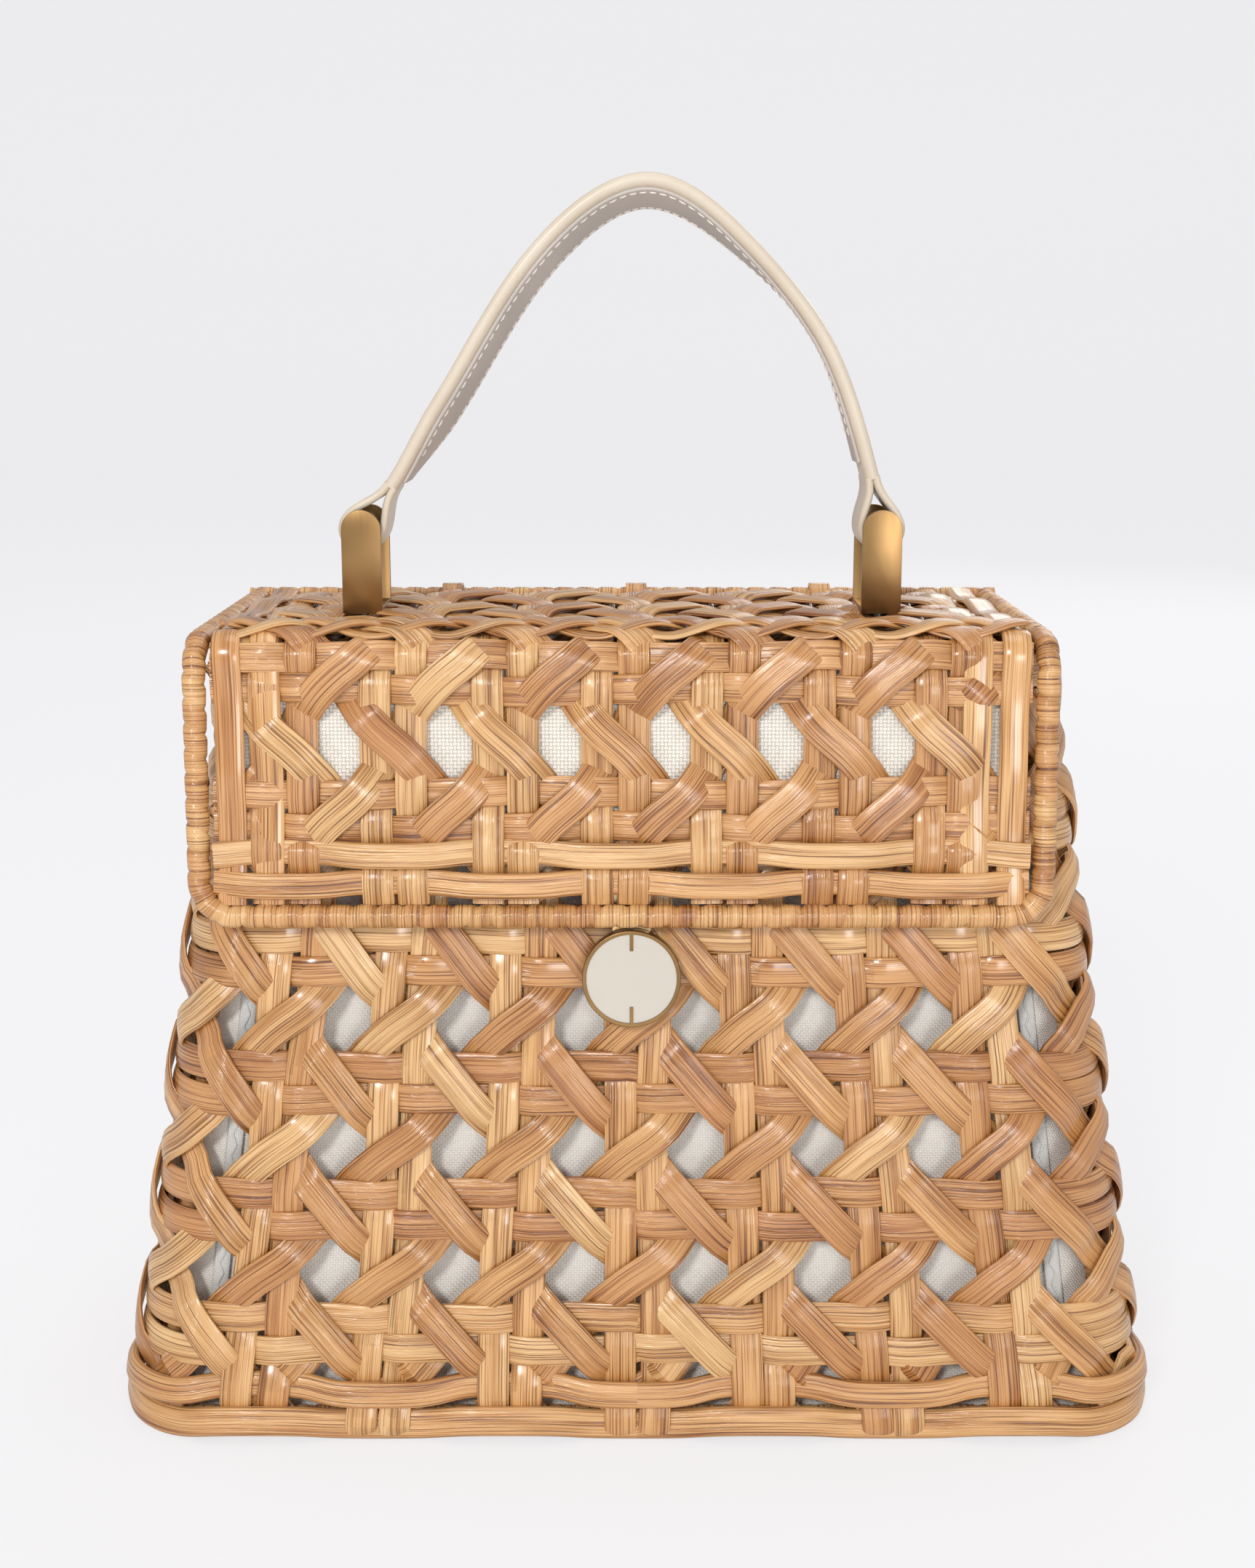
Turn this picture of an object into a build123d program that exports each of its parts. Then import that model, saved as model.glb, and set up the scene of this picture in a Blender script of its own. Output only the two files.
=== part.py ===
from build123d import *
import math
import os

# A woven cane box bag: a tapered basket with a lining, a hinged lid whose flap
# hangs over the front, a leather strap on two brass brackets and a round clasp.
# Origin: middle of the underside. +Z up, -Y is the front, +X to the right.

# Basket wall, outer face
FOOT_WIDTH = 274.0
FOOT_DEPTH = 116.0
RIM_WIDTH = 210.0
RIM_DEPTH = 90.0
BASKET_HEIGHT = 206.0
FOOT_CORNER = 24.0
RIM_CORNER = 16.0
WALL = 2.6
BASE_MAT = 3.0
CORNER_FLATS = 4

# Weave: cane strips in pairs, with slanted strips across them
STRIP_WIDTH = 7.6
PAIR_SPACING = 8.7
FIRST_ROW = 29.0
LAST_ROW_DROP = 9.0
ROWS = 6
STRIP_END = 1.0
FRONT_PITCH_FOOT = 33.8
SIDE_PITCH_FOOT = 36.0
FRONT_PAIRS = (-3, -2, -1, 0, 1, 2, 3)
FRONT_GAPS = (-3.5, -2.5, -1.5, -0.5, 0.5, 1.5, 2.5, 3.5)
SIDE_PAIRS = (-0.5, 0.5)
SIDE_GAPS = (-1.0, 0.0, 1.0)
ROW_RIDGE = 0.6
PAIR_RIDGE = 0.9
SLANT_RIDGE = 1.3
SLANT_WIDTH = 7.0
RIDGE_ROOT = 0.8
SLANT_LENGTH = 25.0

# Two cane strands laid round the foot
STRAND_HEIGHT = 9.2
STRAND_THICK = 3.0
STRAND_LIFT = 0.6
STRAND_ROUND = 1.2

# Wrapped rods inside the basket
ROD_RADIUS = 2.2
RIM_HOOP_DROP = 6.0
SEAT_GAP = 0.3
TOUCH_GAP = 0.1

# Canvas lining of the basket
LINING_CLEAR = 8.8
CANVAS = 1.0
LINING_DROP = 3.0
LID_LINING_INSET = 2.0
TAPE_WIDTH = 4.0
TAPE_THICK = 0.6

# Lid
LID_SHIFT = -4.0
LID_WIDTH = 216.0
LID_CLEAR_TOP = 2.5
LID_CLEAR_FRONT = 4.1
LID_WALL = 2.6
FLAP_DROP = 63.0
LID_EDGE_ROUND = 6.0
LID_ROD_RADIUS = 3.1
LID_ROD_BEND = 9.0
LID_ROD_PROUD = 7.3
FLAP_ROWS = (-8.5, -43.0)
LID_PITCH = 27.5
LID_PAIRS = (-3, -2, -1, 0, 1, 2, 3)
LID_GAPS = (-2.5, -1.5, -0.5, 0.5, 1.5, 2.5)
LID_GAP_HEIGHT = 20.0
LID_GAP_WIDTH = 10.6
LID_TOP_GAP_DEPTH = 9.0
LID_TOP_ROWS = (-31.0, 27.0)

# Lid hinge: a cane rod held by three cane loops
HINGE_OUT = 2.6
HINGE_UP = 3.9
HINGE_ROD_RADIUS = 2.4
LOOP_STEPS = (-2, 0, 2)
LOOP_WIDTH = 6.0
LOOP_THICK = 0.8
LOOP_SLOT_DROP = 17.0
LOOP_RUN = 0.3
LOOP_NOTCH = 6.4

# Brass brackets for the strap
BRACKET_SPACING = 136.0
BRACKET_WIDTH = 10.3
BRACKET_DEPTH = 22.0
BRACKET_HEIGHT = 27.0
BRACKET_WALL = 1.6
BRACKET_Y = -2.0
PIN_RADIUS = 2.0
SCREW_RADIUS = 1.4
SCREW_SPACING = 10.0
SCREW_HEAD_RADIUS = 2.5
SCREW_HEAD_HEIGHT = 1.4
BACKING_THICK = 1.0
BACKING_WIDTH = 14.0
BACKING_DEPTH = 24.0
HOLE_PLAY = 0.1

# Leather strap
STRAP_WIDTH = 17.5
STRAP_THICK = 3.6
STRAP_RISE = 86.4
STRIP_INSET = 1.6
INNER_STRIP_THICK = 0.8
LOOP_EYE_RADIUS = 5.2
LEATHER_PLY = 2.2
# Strap middle line between the pins, as x from the middle of the pins and
# height as a share of the rise above the pins
STRAP_LINE = (
    (-60.4, 0.125),
    (-43.5, 0.41),
    (-16.0, 0.86),
    (6.2, 1.0),
    (31.0, 0.85),
    (53.5, 0.55),
    (61.3, 0.32),
    (65.4, 0.15),
)

# Round clasp
CLASP_X = -1.5
CLASP_CLEAR = 1.0
DISC_RADIUS = 12.4
DISC_THICK = 3.5
DISC_RIM = 1.0
ENAMEL_DEPTH = 0.8
TICK_LENGTH = 4.2
TICK_WIDTH = 0.8
TAB_WIDTH = 9.5
TAB_THICK = 1.0
TAB_BELOW = 7.0
TAB_ABOVE = 27.0
TAB_ROOM = 0.8
STRIKE_RADIUS = 10.4
STRIKE_THICK = 1.0
SLOT_WIDTH = 3.4
SLOT_BELOW = 5.0
SLOT_ABOVE = 8.4
CAM_LENGTH = 9.0
CAM_WIDTH = 2.6
CAM_THICK = 1.5
SHAFT_RADIUS = 1.2
CLASP_HOLE = 7.0
PRONG_RADIUS = 0.8
PRONG_OFFSET = 8.6

# Worked out from the sizes above
CUT_OVER = 6.0
CUT_MARGIN = 1.0
ROW_PITCH = (BASKET_HEIGHT - LAST_ROW_DROP - FIRST_ROW) / (ROWS - 1)
HALF_PAIR = PAIR_SPACING / 2 + STRIP_WIDTH / 2
ROW_HEIGHTS = [FIRST_ROW + ROW_PITCH * index for index in range(ROWS)]
GAP_HEIGHTS = [height + ROW_PITCH / 2 for height in ROW_HEIGHTS[:-1]]
RIDGE_FOOT = STRAND_LIFT + 2 * STRAND_HEIGHT + SEAT_GAP
FRONT_LEAN = math.atan((FOOT_DEPTH - RIM_DEPTH) / 2 / BASKET_HEIGHT)
SIDE_LEAN = math.atan((FOOT_WIDTH - RIM_WIDTH) / 2 / BASKET_HEIGHT)
LID_BOTTOM = BASKET_HEIGHT + LID_CLEAR_TOP
LID_TOP = LID_BOTTOM + LID_WALL
FLAP_BOTTOM = LID_TOP - FLAP_DROP - LID_ROD_RADIUS
BORDER_FOOT = FLAP_BOTTOM - TOUCH_GAP - 2 * LID_ROD_RADIUS
CLASP_HEIGHT = BORDER_FOOT - CLASP_CLEAR - DISC_RADIUS
HINGE_Y = RIM_DEPTH / 2 + HINGE_OUT
HINGE_Z = BASKET_HEIGHT + HINGE_UP
BRACKET_BOTTOM = LID_TOP + PAIR_RIDGE + TOUCH_GAP
PIN_Z = BRACKET_BOTTOM + BRACKET_HEIGHT - BRACKET_WIDTH / 2
WEAVE_HALF = LID_WIDTH / 2 - 2 * LID_ROD_RADIUS - TOUCH_GAP
HOOP_SINK = WALL + SEAT_GAP + ROD_RADIUS
RIM_HOOP_Z = BASKET_HEIGHT - RIM_HOOP_DROP
BASE_HOOP_Z = BASE_MAT + TOUCH_GAP + ROD_RADIUS


def between(foot, rim, height):
    """Value at a height of a size that changes evenly from foot to rim."""
    return foot + (rim - foot) * height / BASKET_HEIGHT


def half_width(height):
    return between(FOOT_WIDTH, RIM_WIDTH, height) / 2


def half_depth(height):
    return between(FOOT_DEPTH, RIM_DEPTH, height) / 2


def corner(height):
    return between(FOOT_CORNER, RIM_CORNER, height)


def outline(height, grow=0.0):
    """Rounded rectangle of the wall's outer face, grown sideways."""
    return Plane.XY.offset(height) * RectangleRounded(
        2 * (half_width(height) + grow),
        2 * (half_depth(height) + grow),
        corner(height) + grow,
    )


def outline_points(height, grow):
    """The same outline with each corner as short flats, so all faces are flat."""
    radius = corner(height) + grow
    x = half_width(height) + grow - radius
    y = half_depth(height) + grow - radius
    points = []
    for quarter, (sign_x, sign_y) in enumerate(((1, 1), (-1, 1), (-1, -1), (1, -1))):
        for index in range(CORNER_FLATS + 1):
            angle = math.pi / 2 * (quarter + index / CORNER_FLATS)
            place = (sign_x * x + radius * math.cos(angle), sign_y * y + radius * math.sin(angle))
            points.append(Vector(*place, height))
    return points


def tapered_stack(levels):
    """Solid through outlines at several heights, as (height, grow) pairs."""
    rings = [outline_points(*level) for level in levels]
    faces = [Face(Wire.make_polygon(ring)) for ring in (rings[0][::-1], rings[-1])]
    for lower, upper in zip(rings, rings[1:]):
        for index, start in enumerate(lower):
            after = (index + 1) % len(lower)
            quad = [start, lower[after], upper[after], upper[index]]
            faces.append(Face(Wire.make_polygon(quad)))
    return Solid(Shell(faces))


def tapered_block(low, high, grow=0.0):
    return tapered_stack([(low, grow), (high, grow)])


def tapered_ring(low, high, inner, outer):
    return tapered_block(low, high, outer) - tapered_block(low - CUT_MARGIN, high + CUT_MARGIN, inner)


class WallSide:
    """One flat side of the basket, with its own upright frame."""

    def __init__(self, turn, half, lean, pitch_foot, reach):
        self.lean = lean
        self.pitch_foot = pitch_foot
        self.reach = reach
        outward = Vector(0, -1, 0).rotate(Axis.Z, turn)
        along = Vector(1, 0, 0).rotate(Axis.Z, turn)
        normal = outward * math.cos(lean) + Vector(0, 0, math.sin(lean))
        self.plane = Plane(outward * half, x_dir=along, z_dir=normal)

    def pitch(self, height):
        """Distance between strip pairs, which fan in towards the rim."""
        return self.pitch_foot * self.reach(height) / self.reach(0)

    def point(self, step, height, shift=0.0):
        """Place on the side, by pairs from the middle and true height."""
        return (step * self.pitch(height) + shift, height / math.cos(self.lean))

    def fan_angle(self, step):
        """Lean of a strip pair from upright, in degrees."""
        run = step * (self.pitch(0) - self.pitch(BASKET_HEIGHT))
        return math.degrees(math.atan2(run, BASKET_HEIGHT))

    def prism(self, sketch, low, high):
        """Solid over a sketch on the side, between two distances from it."""
        return extrude(self.plane.offset(low) * sketch, high - low)


SIDES = {
    "front": WallSide(0, FOOT_DEPTH / 2, FRONT_LEAN, FRONT_PITCH_FOOT, half_width),
    "right": WallSide(90, FOOT_WIDTH / 2, SIDE_LEAN, SIDE_PITCH_FOOT, half_depth),
    "back": WallSide(180, FOOT_DEPTH / 2, FRONT_LEAN, FRONT_PITCH_FOOT, half_width),
    "left": WallSide(270, FOOT_WIDTH / 2, SIDE_LEAN, SIDE_PITCH_FOOT, half_depth),
}
FRONT = SIDES["front"]
BACK = SIDES["back"]


def gap_sketch(half_gap_width, half_gap_height, half_pitch, half_row):
    """Eight-sided gap: a rectangle whose corners the slanted strips cut off."""
    span = math.hypot(half_pitch, half_row)
    inner = half_pitch * half_row / span - SLANT_WIDTH / 2
    across, up = half_row / span, half_pitch / span
    side_z = (inner - half_gap_width * across) / up
    top_x = (inner - half_gap_height * up) / across
    corners = []
    for sign_x, sign_z in ((1, 1), (-1, 1), (-1, -1), (1, -1)):
        pair = [
            (sign_x * half_gap_width, sign_z * side_z),
            (sign_x * top_x, sign_z * half_gap_height),
        ]
        corners += pair if sign_x == sign_z else pair[::-1]
    return make_face(Polyline(*corners, close=True))


def wall_gaps(side, steps):
    """Cutters for every gap of one side."""
    cutters = []
    for height in GAP_HEIGHTS:
        pitch = side.pitch(height)
        shape = gap_sketch(
            pitch / 2 - HALF_PAIR, ROW_PITCH / 2 - HALF_PAIR, pitch / 2, ROW_PITCH / 2
        )
        for step in steps:
            place = Pos(*side.point(step, height)) * Rot(0, 0, side.fan_angle(step))
            cutters.append(side.prism(place * shape, -CUT_OVER, CUT_OVER))
    return cutters


def pair_ridges(side, steps, top):
    """Upright strips of one side, as low ridges on the wall."""
    ridges = []
    for step in steps:
        for hand in (-1, 1):
            middle = hand * PAIR_SPACING / 2
            edges = (middle - STRIP_WIDTH / 2, middle + STRIP_WIDTH / 2)
            corners = [side.point(step, RIDGE_FOOT, edge) for edge in edges]
            corners += [side.point(step, top, edge) for edge in edges[::-1]]
            strip = make_face(Polyline(*corners, close=True))
            ridges.append(side.prism(strip, -RIDGE_ROOT, PAIR_RIDGE))
    return ridges


def slant_ridges(side, pair_steps):
    """Slanted strips where they pass over the pairs."""
    ridges = []
    strip = Rectangle(SLANT_LENGTH, SLANT_WIDTH)
    for height in GAP_HEIGHTS:
        angle = math.degrees(math.atan2(ROW_PITCH, side.pitch(height)))
        for step in pair_steps:
            place = Pos(*side.point(step, height)) * Rot(0, 0, angle)
            ridges.append(side.prism(place * strip, -RIDGE_ROOT, SLANT_RIDGE))
    return ridges


def clasp_plane(distance=0.0):
    """Plane on the front wall at the clasp, x to the right and y up the wall."""
    local = Vector(CLASP_X, CLASP_HEIGHT / math.cos(FRONT_LEAN), distance)
    place = FRONT.plane.from_local_coords(local)
    return Plane(place, x_dir=FRONT.plane.x_dir, z_dir=FRONT.plane.z_dir)


def clasp_solid(sketch, low, high):
    return extrude(clasp_plane(low) * sketch, high - low)


def loop_slots():
    """Slots in the back wall that the hinge loops pass through."""
    height = BASKET_HEIGHT - LOOP_SLOT_DROP
    slot = Rectangle(LOOP_WIDTH + 2 * SEAT_GAP, LOOP_THICK + 4 * SEAT_GAP)
    cutters = []
    for x in loop_places():
        place = Pos(-x, height / math.cos(FRONT_LEAN))
        cutters.append(BACK.prism(place * slot, -CUT_OVER, CUT_OVER))
    return cutters


def loop_places():
    """X of the hinge loops, each over a pair of strips."""
    pitch = BACK.pitch(BASKET_HEIGHT - LOOP_SLOT_DROP)
    return [step * pitch for step in LOOP_STEPS]


def basket_weave():
    shell = tapered_block(0, BASKET_HEIGHT)
    shell -= tapered_block(BASE_MAT, BASKET_HEIGHT + CUT_MARGIN, -WALL)
    top = BASKET_HEIGHT - STRIP_END
    ridges = []
    for side in (FRONT, BACK):
        ridges += pair_ridges(side, FRONT_PAIRS, top)
        ridges += slant_ridges(side, FRONT_PAIRS)
    for name in ("left", "right"):
        ridges += pair_ridges(SIDES[name], SIDE_PAIRS, top)
    shell = shell.fuse(*ridges)
    cutters = []
    for name, side in SIDES.items():
        gaps = FRONT_GAPS if name in ("front", "back") else SIDE_GAPS
        cutters += wall_gaps(side, gaps)
    cutters.append(clasp_solid(Circle(CLASP_HOLE), -CUT_OVER, CUT_OVER))
    for hand in (-1, 1):
        hole = Pos(hand * PRONG_OFFSET, 0) * Circle(PRONG_RADIUS + HOLE_PLAY)
        cutters.append(clasp_solid(hole, -CUT_OVER, CUT_OVER))
    cutters += loop_slots()
    return shell.cut(*cutters)


def foot_strand(level):
    """One of the two strands laid round the foot, 0 is the lower one."""
    low = STRAND_LIFT + level * STRAND_HEIGHT
    high = low + STRAND_HEIGHT - SEAT_GAP
    flat = STRAND_THICK - STRAND_ROUND
    levels = [
        (low, flat),
        (low + STRAND_ROUND, STRAND_THICK),
        (high - STRAND_ROUND, STRAND_THICK),
        (high, flat),
    ]
    core = tapered_block(low - CUT_MARGIN, high + CUT_MARGIN, TOUCH_GAP)
    return tapered_stack(levels) - core


def corner_post(sign_x, sign_y):
    """Wrapped rod that stands in a corner, just inside the wall."""
    low = BASE_HOOP_Z + ROD_RADIUS + SEAT_GAP
    high = RIM_HOOP_Z - ROD_RADIUS - SEAT_GAP
    ends = []
    for height in (low, high):
        inset = (corner(height) - HOOP_SINK) / math.sqrt(2)
        x = half_width(height) - corner(height) + inset
        y = half_depth(height) - corner(height) + inset
        ends.append(Vector(sign_x * x, sign_y * y, height))
    run = ends[1] - ends[0]
    return Solid.make_cylinder(ROD_RADIUS, run.length, Plane(ends[0], z_dir=run))


def hoop(height):
    """Wrapped rod bent round the inside of the wall at a height."""
    path = outline(height, -HOOP_SINK).face().outer_wire()
    start = path @ 0
    section = Plane(start, z_dir=path % 0) * Circle(ROD_RADIUS)
    return sweep(section, path=path)


def lining():
    """Open canvas pouch that hangs inside the rods."""
    low = BASE_MAT + TOUCH_GAP
    high = BASKET_HEIGHT - LINING_DROP
    pouch = tapered_block(low, high, -LINING_CLEAR)
    inside = tapered_block(low + CANVAS, high + CUT_MARGIN, -LINING_CLEAR - CANVAS)
    return pouch - inside


def seam_tape(side, hand):
    """Binding tape down a corner seam of the lining, on its outer face."""
    level = -LINING_CLEAR * math.cos(FRONT_LEAN)
    corners = []
    low, high = BASE_HOOP_Z + ROD_RADIUS, BASKET_HEIGHT - LINING_DROP - STRIP_END
    for height, order in ((low, (0, 1)), (high, (1, 0))):
        edge = half_width(height) - corner(height)
        for share in order:
            x = hand * (edge - share * TAPE_WIDTH)
            corners.append((x, height / math.cos(FRONT_LEAN)))
    strip = make_face(Polyline(*corners, close=True))
    return side.prism(strip, level + TOUCH_GAP, level + TOUCH_GAP + TAPE_THICK)


def strike_plate():
    """Slotted plate on the front wall that the clasp turns in."""
    low = SLANT_RIDGE + TOUCH_GAP
    plate = clasp_solid(Circle(STRIKE_RADIUS), low, low + STRIKE_THICK)
    tall = SLOT_BELOW + SLOT_ABOVE
    slot = Pos(0, (SLOT_ABOVE - SLOT_BELOW) / 2) * Rectangle(SLOT_WIDTH, tall)
    plate -= clasp_solid(slot, 0, low + 2 * STRIKE_THICK)
    for hand in (-1, 1):
        prong = Pos(hand * PRONG_OFFSET, 0) * Circle(PRONG_RADIUS)
        plate += clasp_solid(prong, -WALL - TOUCH_GAP, low)
    return plate


def strike_washer():
    """Washer inside the wall that the prongs of the strike plate meet."""
    high = -WALL - 2 * TOUCH_GAP
    ring = Circle(STRIKE_RADIUS) - Circle(CLASP_HOLE + SEAT_GAP)
    return clasp_solid(ring, high - STRIKE_THICK, high)


TAB_LEVEL = SLANT_RIDGE + TOUCH_GAP + STRIKE_THICK + SEAT_GAP
DISC_LEVEL = TAB_LEVEL + TAB_THICK + SEAT_GAP


def clasp_tab():
    """Metal tab that hangs from behind the flap and carries the disc."""
    tall = TAB_BELOW + TAB_ABOVE
    plate = Pos(0, (TAB_ABOVE - TAB_BELOW) / 2) * RectangleRounded(TAB_WIDTH, tall, 2)
    plate -= Circle(SHAFT_RADIUS + HOLE_PLAY)
    return clasp_solid(plate, TAB_LEVEL, TAB_LEVEL + TAB_THICK)


def tick_sketch(grow=0.0):
    """The two marks on the disc, above and below its middle."""
    marks = Sketch()
    for hand in (-1, 1):
        middle = hand * (DISC_RADIUS - DISC_RIM - TICK_LENGTH / 2 + grow)
        mark = Rectangle(TICK_WIDTH + 2 * grow, TICK_LENGTH + 4 * grow)
        marks += Pos(0, middle) * mark
    return marks


def clasp_disc():
    """Rimmed disc with its two marks and the shaft behind it."""
    face = DISC_LEVEL + DISC_THICK
    disc = clasp_solid(Circle(DISC_RADIUS), DISC_LEVEL, face)
    rims = disc.faces().filter_by(lambda item: item.area > DISC_RADIUS).edges()
    disc = fillet(rims, SEAT_GAP)
    pocket = Circle(DISC_RADIUS - DISC_RIM) - tick_sketch()
    disc -= clasp_solid(pocket, face - ENAMEL_DEPTH, face + CUT_MARGIN)
    return disc + clasp_solid(Circle(SHAFT_RADIUS), cam_top(), DISC_LEVEL)


def cam_top():
    """Outer face of the cam, just behind the strike plate."""
    return SLANT_RIDGE + TOUCH_GAP - SEAT_GAP


def clasp_enamel():
    """Enamel that fills the disc between its rim and its marks."""
    play = HOLE_PLAY / 2
    face = DISC_LEVEL + DISC_THICK
    fill = Circle(DISC_RADIUS - DISC_RIM - play) - tick_sketch(play)
    return clasp_solid(fill, face - ENAMEL_DEPTH, face - SEAT_GAP)


def clasp_cam():
    """Bar on the end of the shaft: upright it slips out of the slot."""
    bar = RectangleRounded(CAM_WIDTH, CAM_LENGTH, CAM_WIDTH / 2 - HOLE_PLAY)
    return clasp_solid(bar, cam_top() - CAM_THICK, cam_top())


def lid_profile(gap, thick, back, bottom):
    """Bent section of the lid in Y and Z: a level top and a hanging flap."""
    low = LID_BOTTOM - LID_CLEAR_FRONT + gap
    side = 1 / math.cos(FRONT_LEAN)

    def front(distance, height):
        return -half_depth(height) - distance * side

    inner = [(back, low), (front(gap, low), low), (front(gap, bottom), bottom)]
    outer = [
        (front(gap + thick, bottom), bottom),
        (front(gap + thick, low + thick), low + thick),
        (back, low + thick),
    ]
    section = make_face(Polyline(*inner, *outer, close=True))
    bends = section.vertices().filter_by(lambda v: v.Y > bottom + CUT_MARGIN and v.X < 0)
    inner_bend, outer_bend = bends.sort_by(Axis.Y)
    section = fillet(outer_bend, LID_EDGE_ROUND)
    inner_bend = section.vertices().sort_by_distance(inner_bend.center())[0]
    return fillet(inner_bend, LID_EDGE_ROUND - thick)


def lid_sheet(gap, thick, back, bottom, half):
    """The bent section run across the lid."""
    section = Plane.YZ * lid_profile(gap, thick, back, bottom)
    return Pos(LID_SHIFT - half, 0, 0) * extrude(section, 2 * half, dir=(1, 0, 0))


def lid_front_plane():
    """Plane of the flap's outer face, with its origin at the lid's top."""
    outward = FRONT.plane.z_dir
    level = LID_CLEAR_FRONT + LID_WALL
    place = FRONT.plane.from_local_coords(
        Vector(LID_SHIFT, LID_TOP / math.cos(FRONT_LEAN), level)
    )
    return Plane(place, x_dir=(1, 0, 0), z_dir=outward)


def lid_prism(plane, sketch, low, high):
    return extrude(plane.offset(low) * sketch, high - low)


def lid_gap(width, height):
    """Gap of the lid's weave, with its corners cut off."""
    side, top = height / 5, width / 5
    points = []
    for sign_x, sign_z in ((1, 1), (-1, 1), (-1, -1), (1, -1)):
        pair = [(sign_x * width / 2, sign_z * side), (sign_x * top, sign_z * height / 2)]
        points += pair if sign_x == sign_z else pair[::-1]
    return make_face(Polyline(*points, close=True))


def screw_places():
    """Places of the bracket screws, in X and Y."""
    return [
        (bracket_x(hand), BRACKET_Y + step * SCREW_SPACING / 2)
        for hand in (-1, 1)
        for step in (-1, 1)
    ]


def bracket_x(hand):
    return LID_SHIFT + hand * BRACKET_SPACING / 2


def screw_holes(low, high):
    holes = []
    for x, y in screw_places():
        hole = Pos(x, y) * Circle(SCREW_RADIUS + HOLE_PLAY)
        holes.append(extrude(Plane.XY.offset(low) * hole, high - low))
    return holes


def hinge_notches(high):
    """Room at the back of the lid for the hinge loops."""
    notch = Rectangle(LOOP_WIDTH + 4 * SEAT_GAP, 2 * LOOP_NOTCH)
    cutters = []
    for x in loop_places():
        place = Pos(x, HINGE_Y) * notch
        cutters.append(extrude(Plane.XY.offset(LID_BOTTOM - CUT_MARGIN) * place, high))
    return cutters


def at_flap_corner(edge):
    """Whether an edge runs through the mat at a lower corner of the flap."""
    middle = edge.center()
    aside = abs(abs(middle.X - LID_SHIFT) - WEAVE_HALF)
    return aside < 0.01 and abs(middle.Z - FLAP_BOTTOM) < 0.01 and edge.length < 3 * LID_WALL


def lid_top_plane():
    """Plane of the lid's upper face."""
    return Plane((LID_SHIFT, 0, LID_TOP))


def lid_gaps():
    """Cutters for the gaps of the flap and of the lid's top."""
    middle = sum(FLAP_ROWS) / 2
    rows = [(lid_front_plane(), middle, LID_GAP_HEIGHT)]
    rows += [(lid_top_plane(), row, LID_TOP_GAP_DEPTH) for row in LID_TOP_ROWS]
    cutters = []
    for plane, row, tall in rows:
        gap = lid_gap(LID_GAP_WIDTH, tall)
        for step in LID_GAPS:
            place = Pos(step * LID_PITCH, row) * gap
            cutters.append(lid_prism(plane, place, -CUT_OVER, CUT_OVER))
    return cutters


def lid_ridges():
    """Strips of the lid, as low ridges on its mat."""
    flap, top = lid_front_plane(), lid_top_plane()
    ridges = []
    flap_run = FLAP_DROP - LID_EDGE_ROUND - LID_ROD_RADIUS
    flap_middle = -LID_EDGE_ROUND - flap_run / 2
    width = 2 * (WEAVE_HALF - STRIP_END)
    top_spacing = LID_TOP_GAP_DEPTH + STRIP_WIDTH
    for hand in (-1, 1):
        for step in LID_PAIRS:
            place = Pos(step * LID_PITCH + hand * PAIR_SPACING / 2, flap_middle)
            strip = place * Rectangle(STRIP_WIDTH, flap_run)
            ridges.append(lid_prism(flap, strip, -RIDGE_ROOT, PAIR_RIDGE))
        rows = [(flap, row + hand * PAIR_SPACING / 2) for row in FLAP_ROWS]
        rows += [(top, row + hand * top_spacing / 2) for row in LID_TOP_ROWS]
        for plane, row in rows:
            strip = Pos(0, row) * Rectangle(width, STRIP_WIDTH)
            ridges.append(lid_prism(plane, strip, -RIDGE_ROOT, ROW_RIDGE))
    slant = Rectangle(SLANT_LENGTH, SLANT_WIDTH)
    angle = math.degrees(math.atan2(FLAP_ROWS[0] - FLAP_ROWS[1], LID_PITCH))
    for step in LID_PAIRS:
        place = Pos(step * LID_PITCH, sum(FLAP_ROWS) / 2) * Rot(0, 0, angle)
        ridges.append(lid_prism(flap, place * slant, -RIDGE_ROOT, SLANT_RIDGE))
    return ridges


def lid_weave():
    """Woven lid: top and flap in one bent mat."""
    back = HINGE_Y - HINGE_ROD_RADIUS - TOUCH_GAP
    mat = lid_sheet(LID_CLEAR_FRONT, LID_WALL, back, FLAP_BOTTOM, WEAVE_HALF)
    corners = mat.edges().filter_by(at_flap_corner)
    mat = fillet(corners, LID_ROD_BEND - LID_ROD_RADIUS)
    cutters = lid_gaps()
    mat = mat.fuse(*lid_ridges())
    cutters += screw_holes(LID_BOTTOM - CUT_MARGIN, BRACKET_BOTTOM + CUT_MARGIN)
    cutters += hinge_notches(4 * LID_WALL)
    return mat.cut(*cutters)


def lid_border():
    """Wrapped rod bent round the sides and foot of the flap and lid."""
    half = LID_WIDTH / 2 - LID_ROD_RADIUS
    side = LID_ROD_PROUD / math.cos(FRONT_LEAN)
    top = LID_TOP - LID_ROD_RADIUS + 2 * ROW_RIDGE
    bottom = FLAP_BOTTOM - TOUCH_GAP - LID_ROD_RADIUS
    back = HINGE_Y - HINGE_ROD_RADIUS - TOUCH_GAP

    def front(height):
        return -half_depth(height) - side

    route = []
    for hand in (-1, 1):
        x = LID_SHIFT + hand * half
        leg = [(x, back, top), (x, front(top), top), (x, front(bottom), bottom)]
        route += leg if hand < 0 else leg[::-1]
    path = FilletPolyline(*route, radius=LID_ROD_BEND)
    section = Plane(path @ 0, z_dir=path % 0) * Circle(LID_ROD_RADIUS)
    return sweep(section, path=path)


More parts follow.
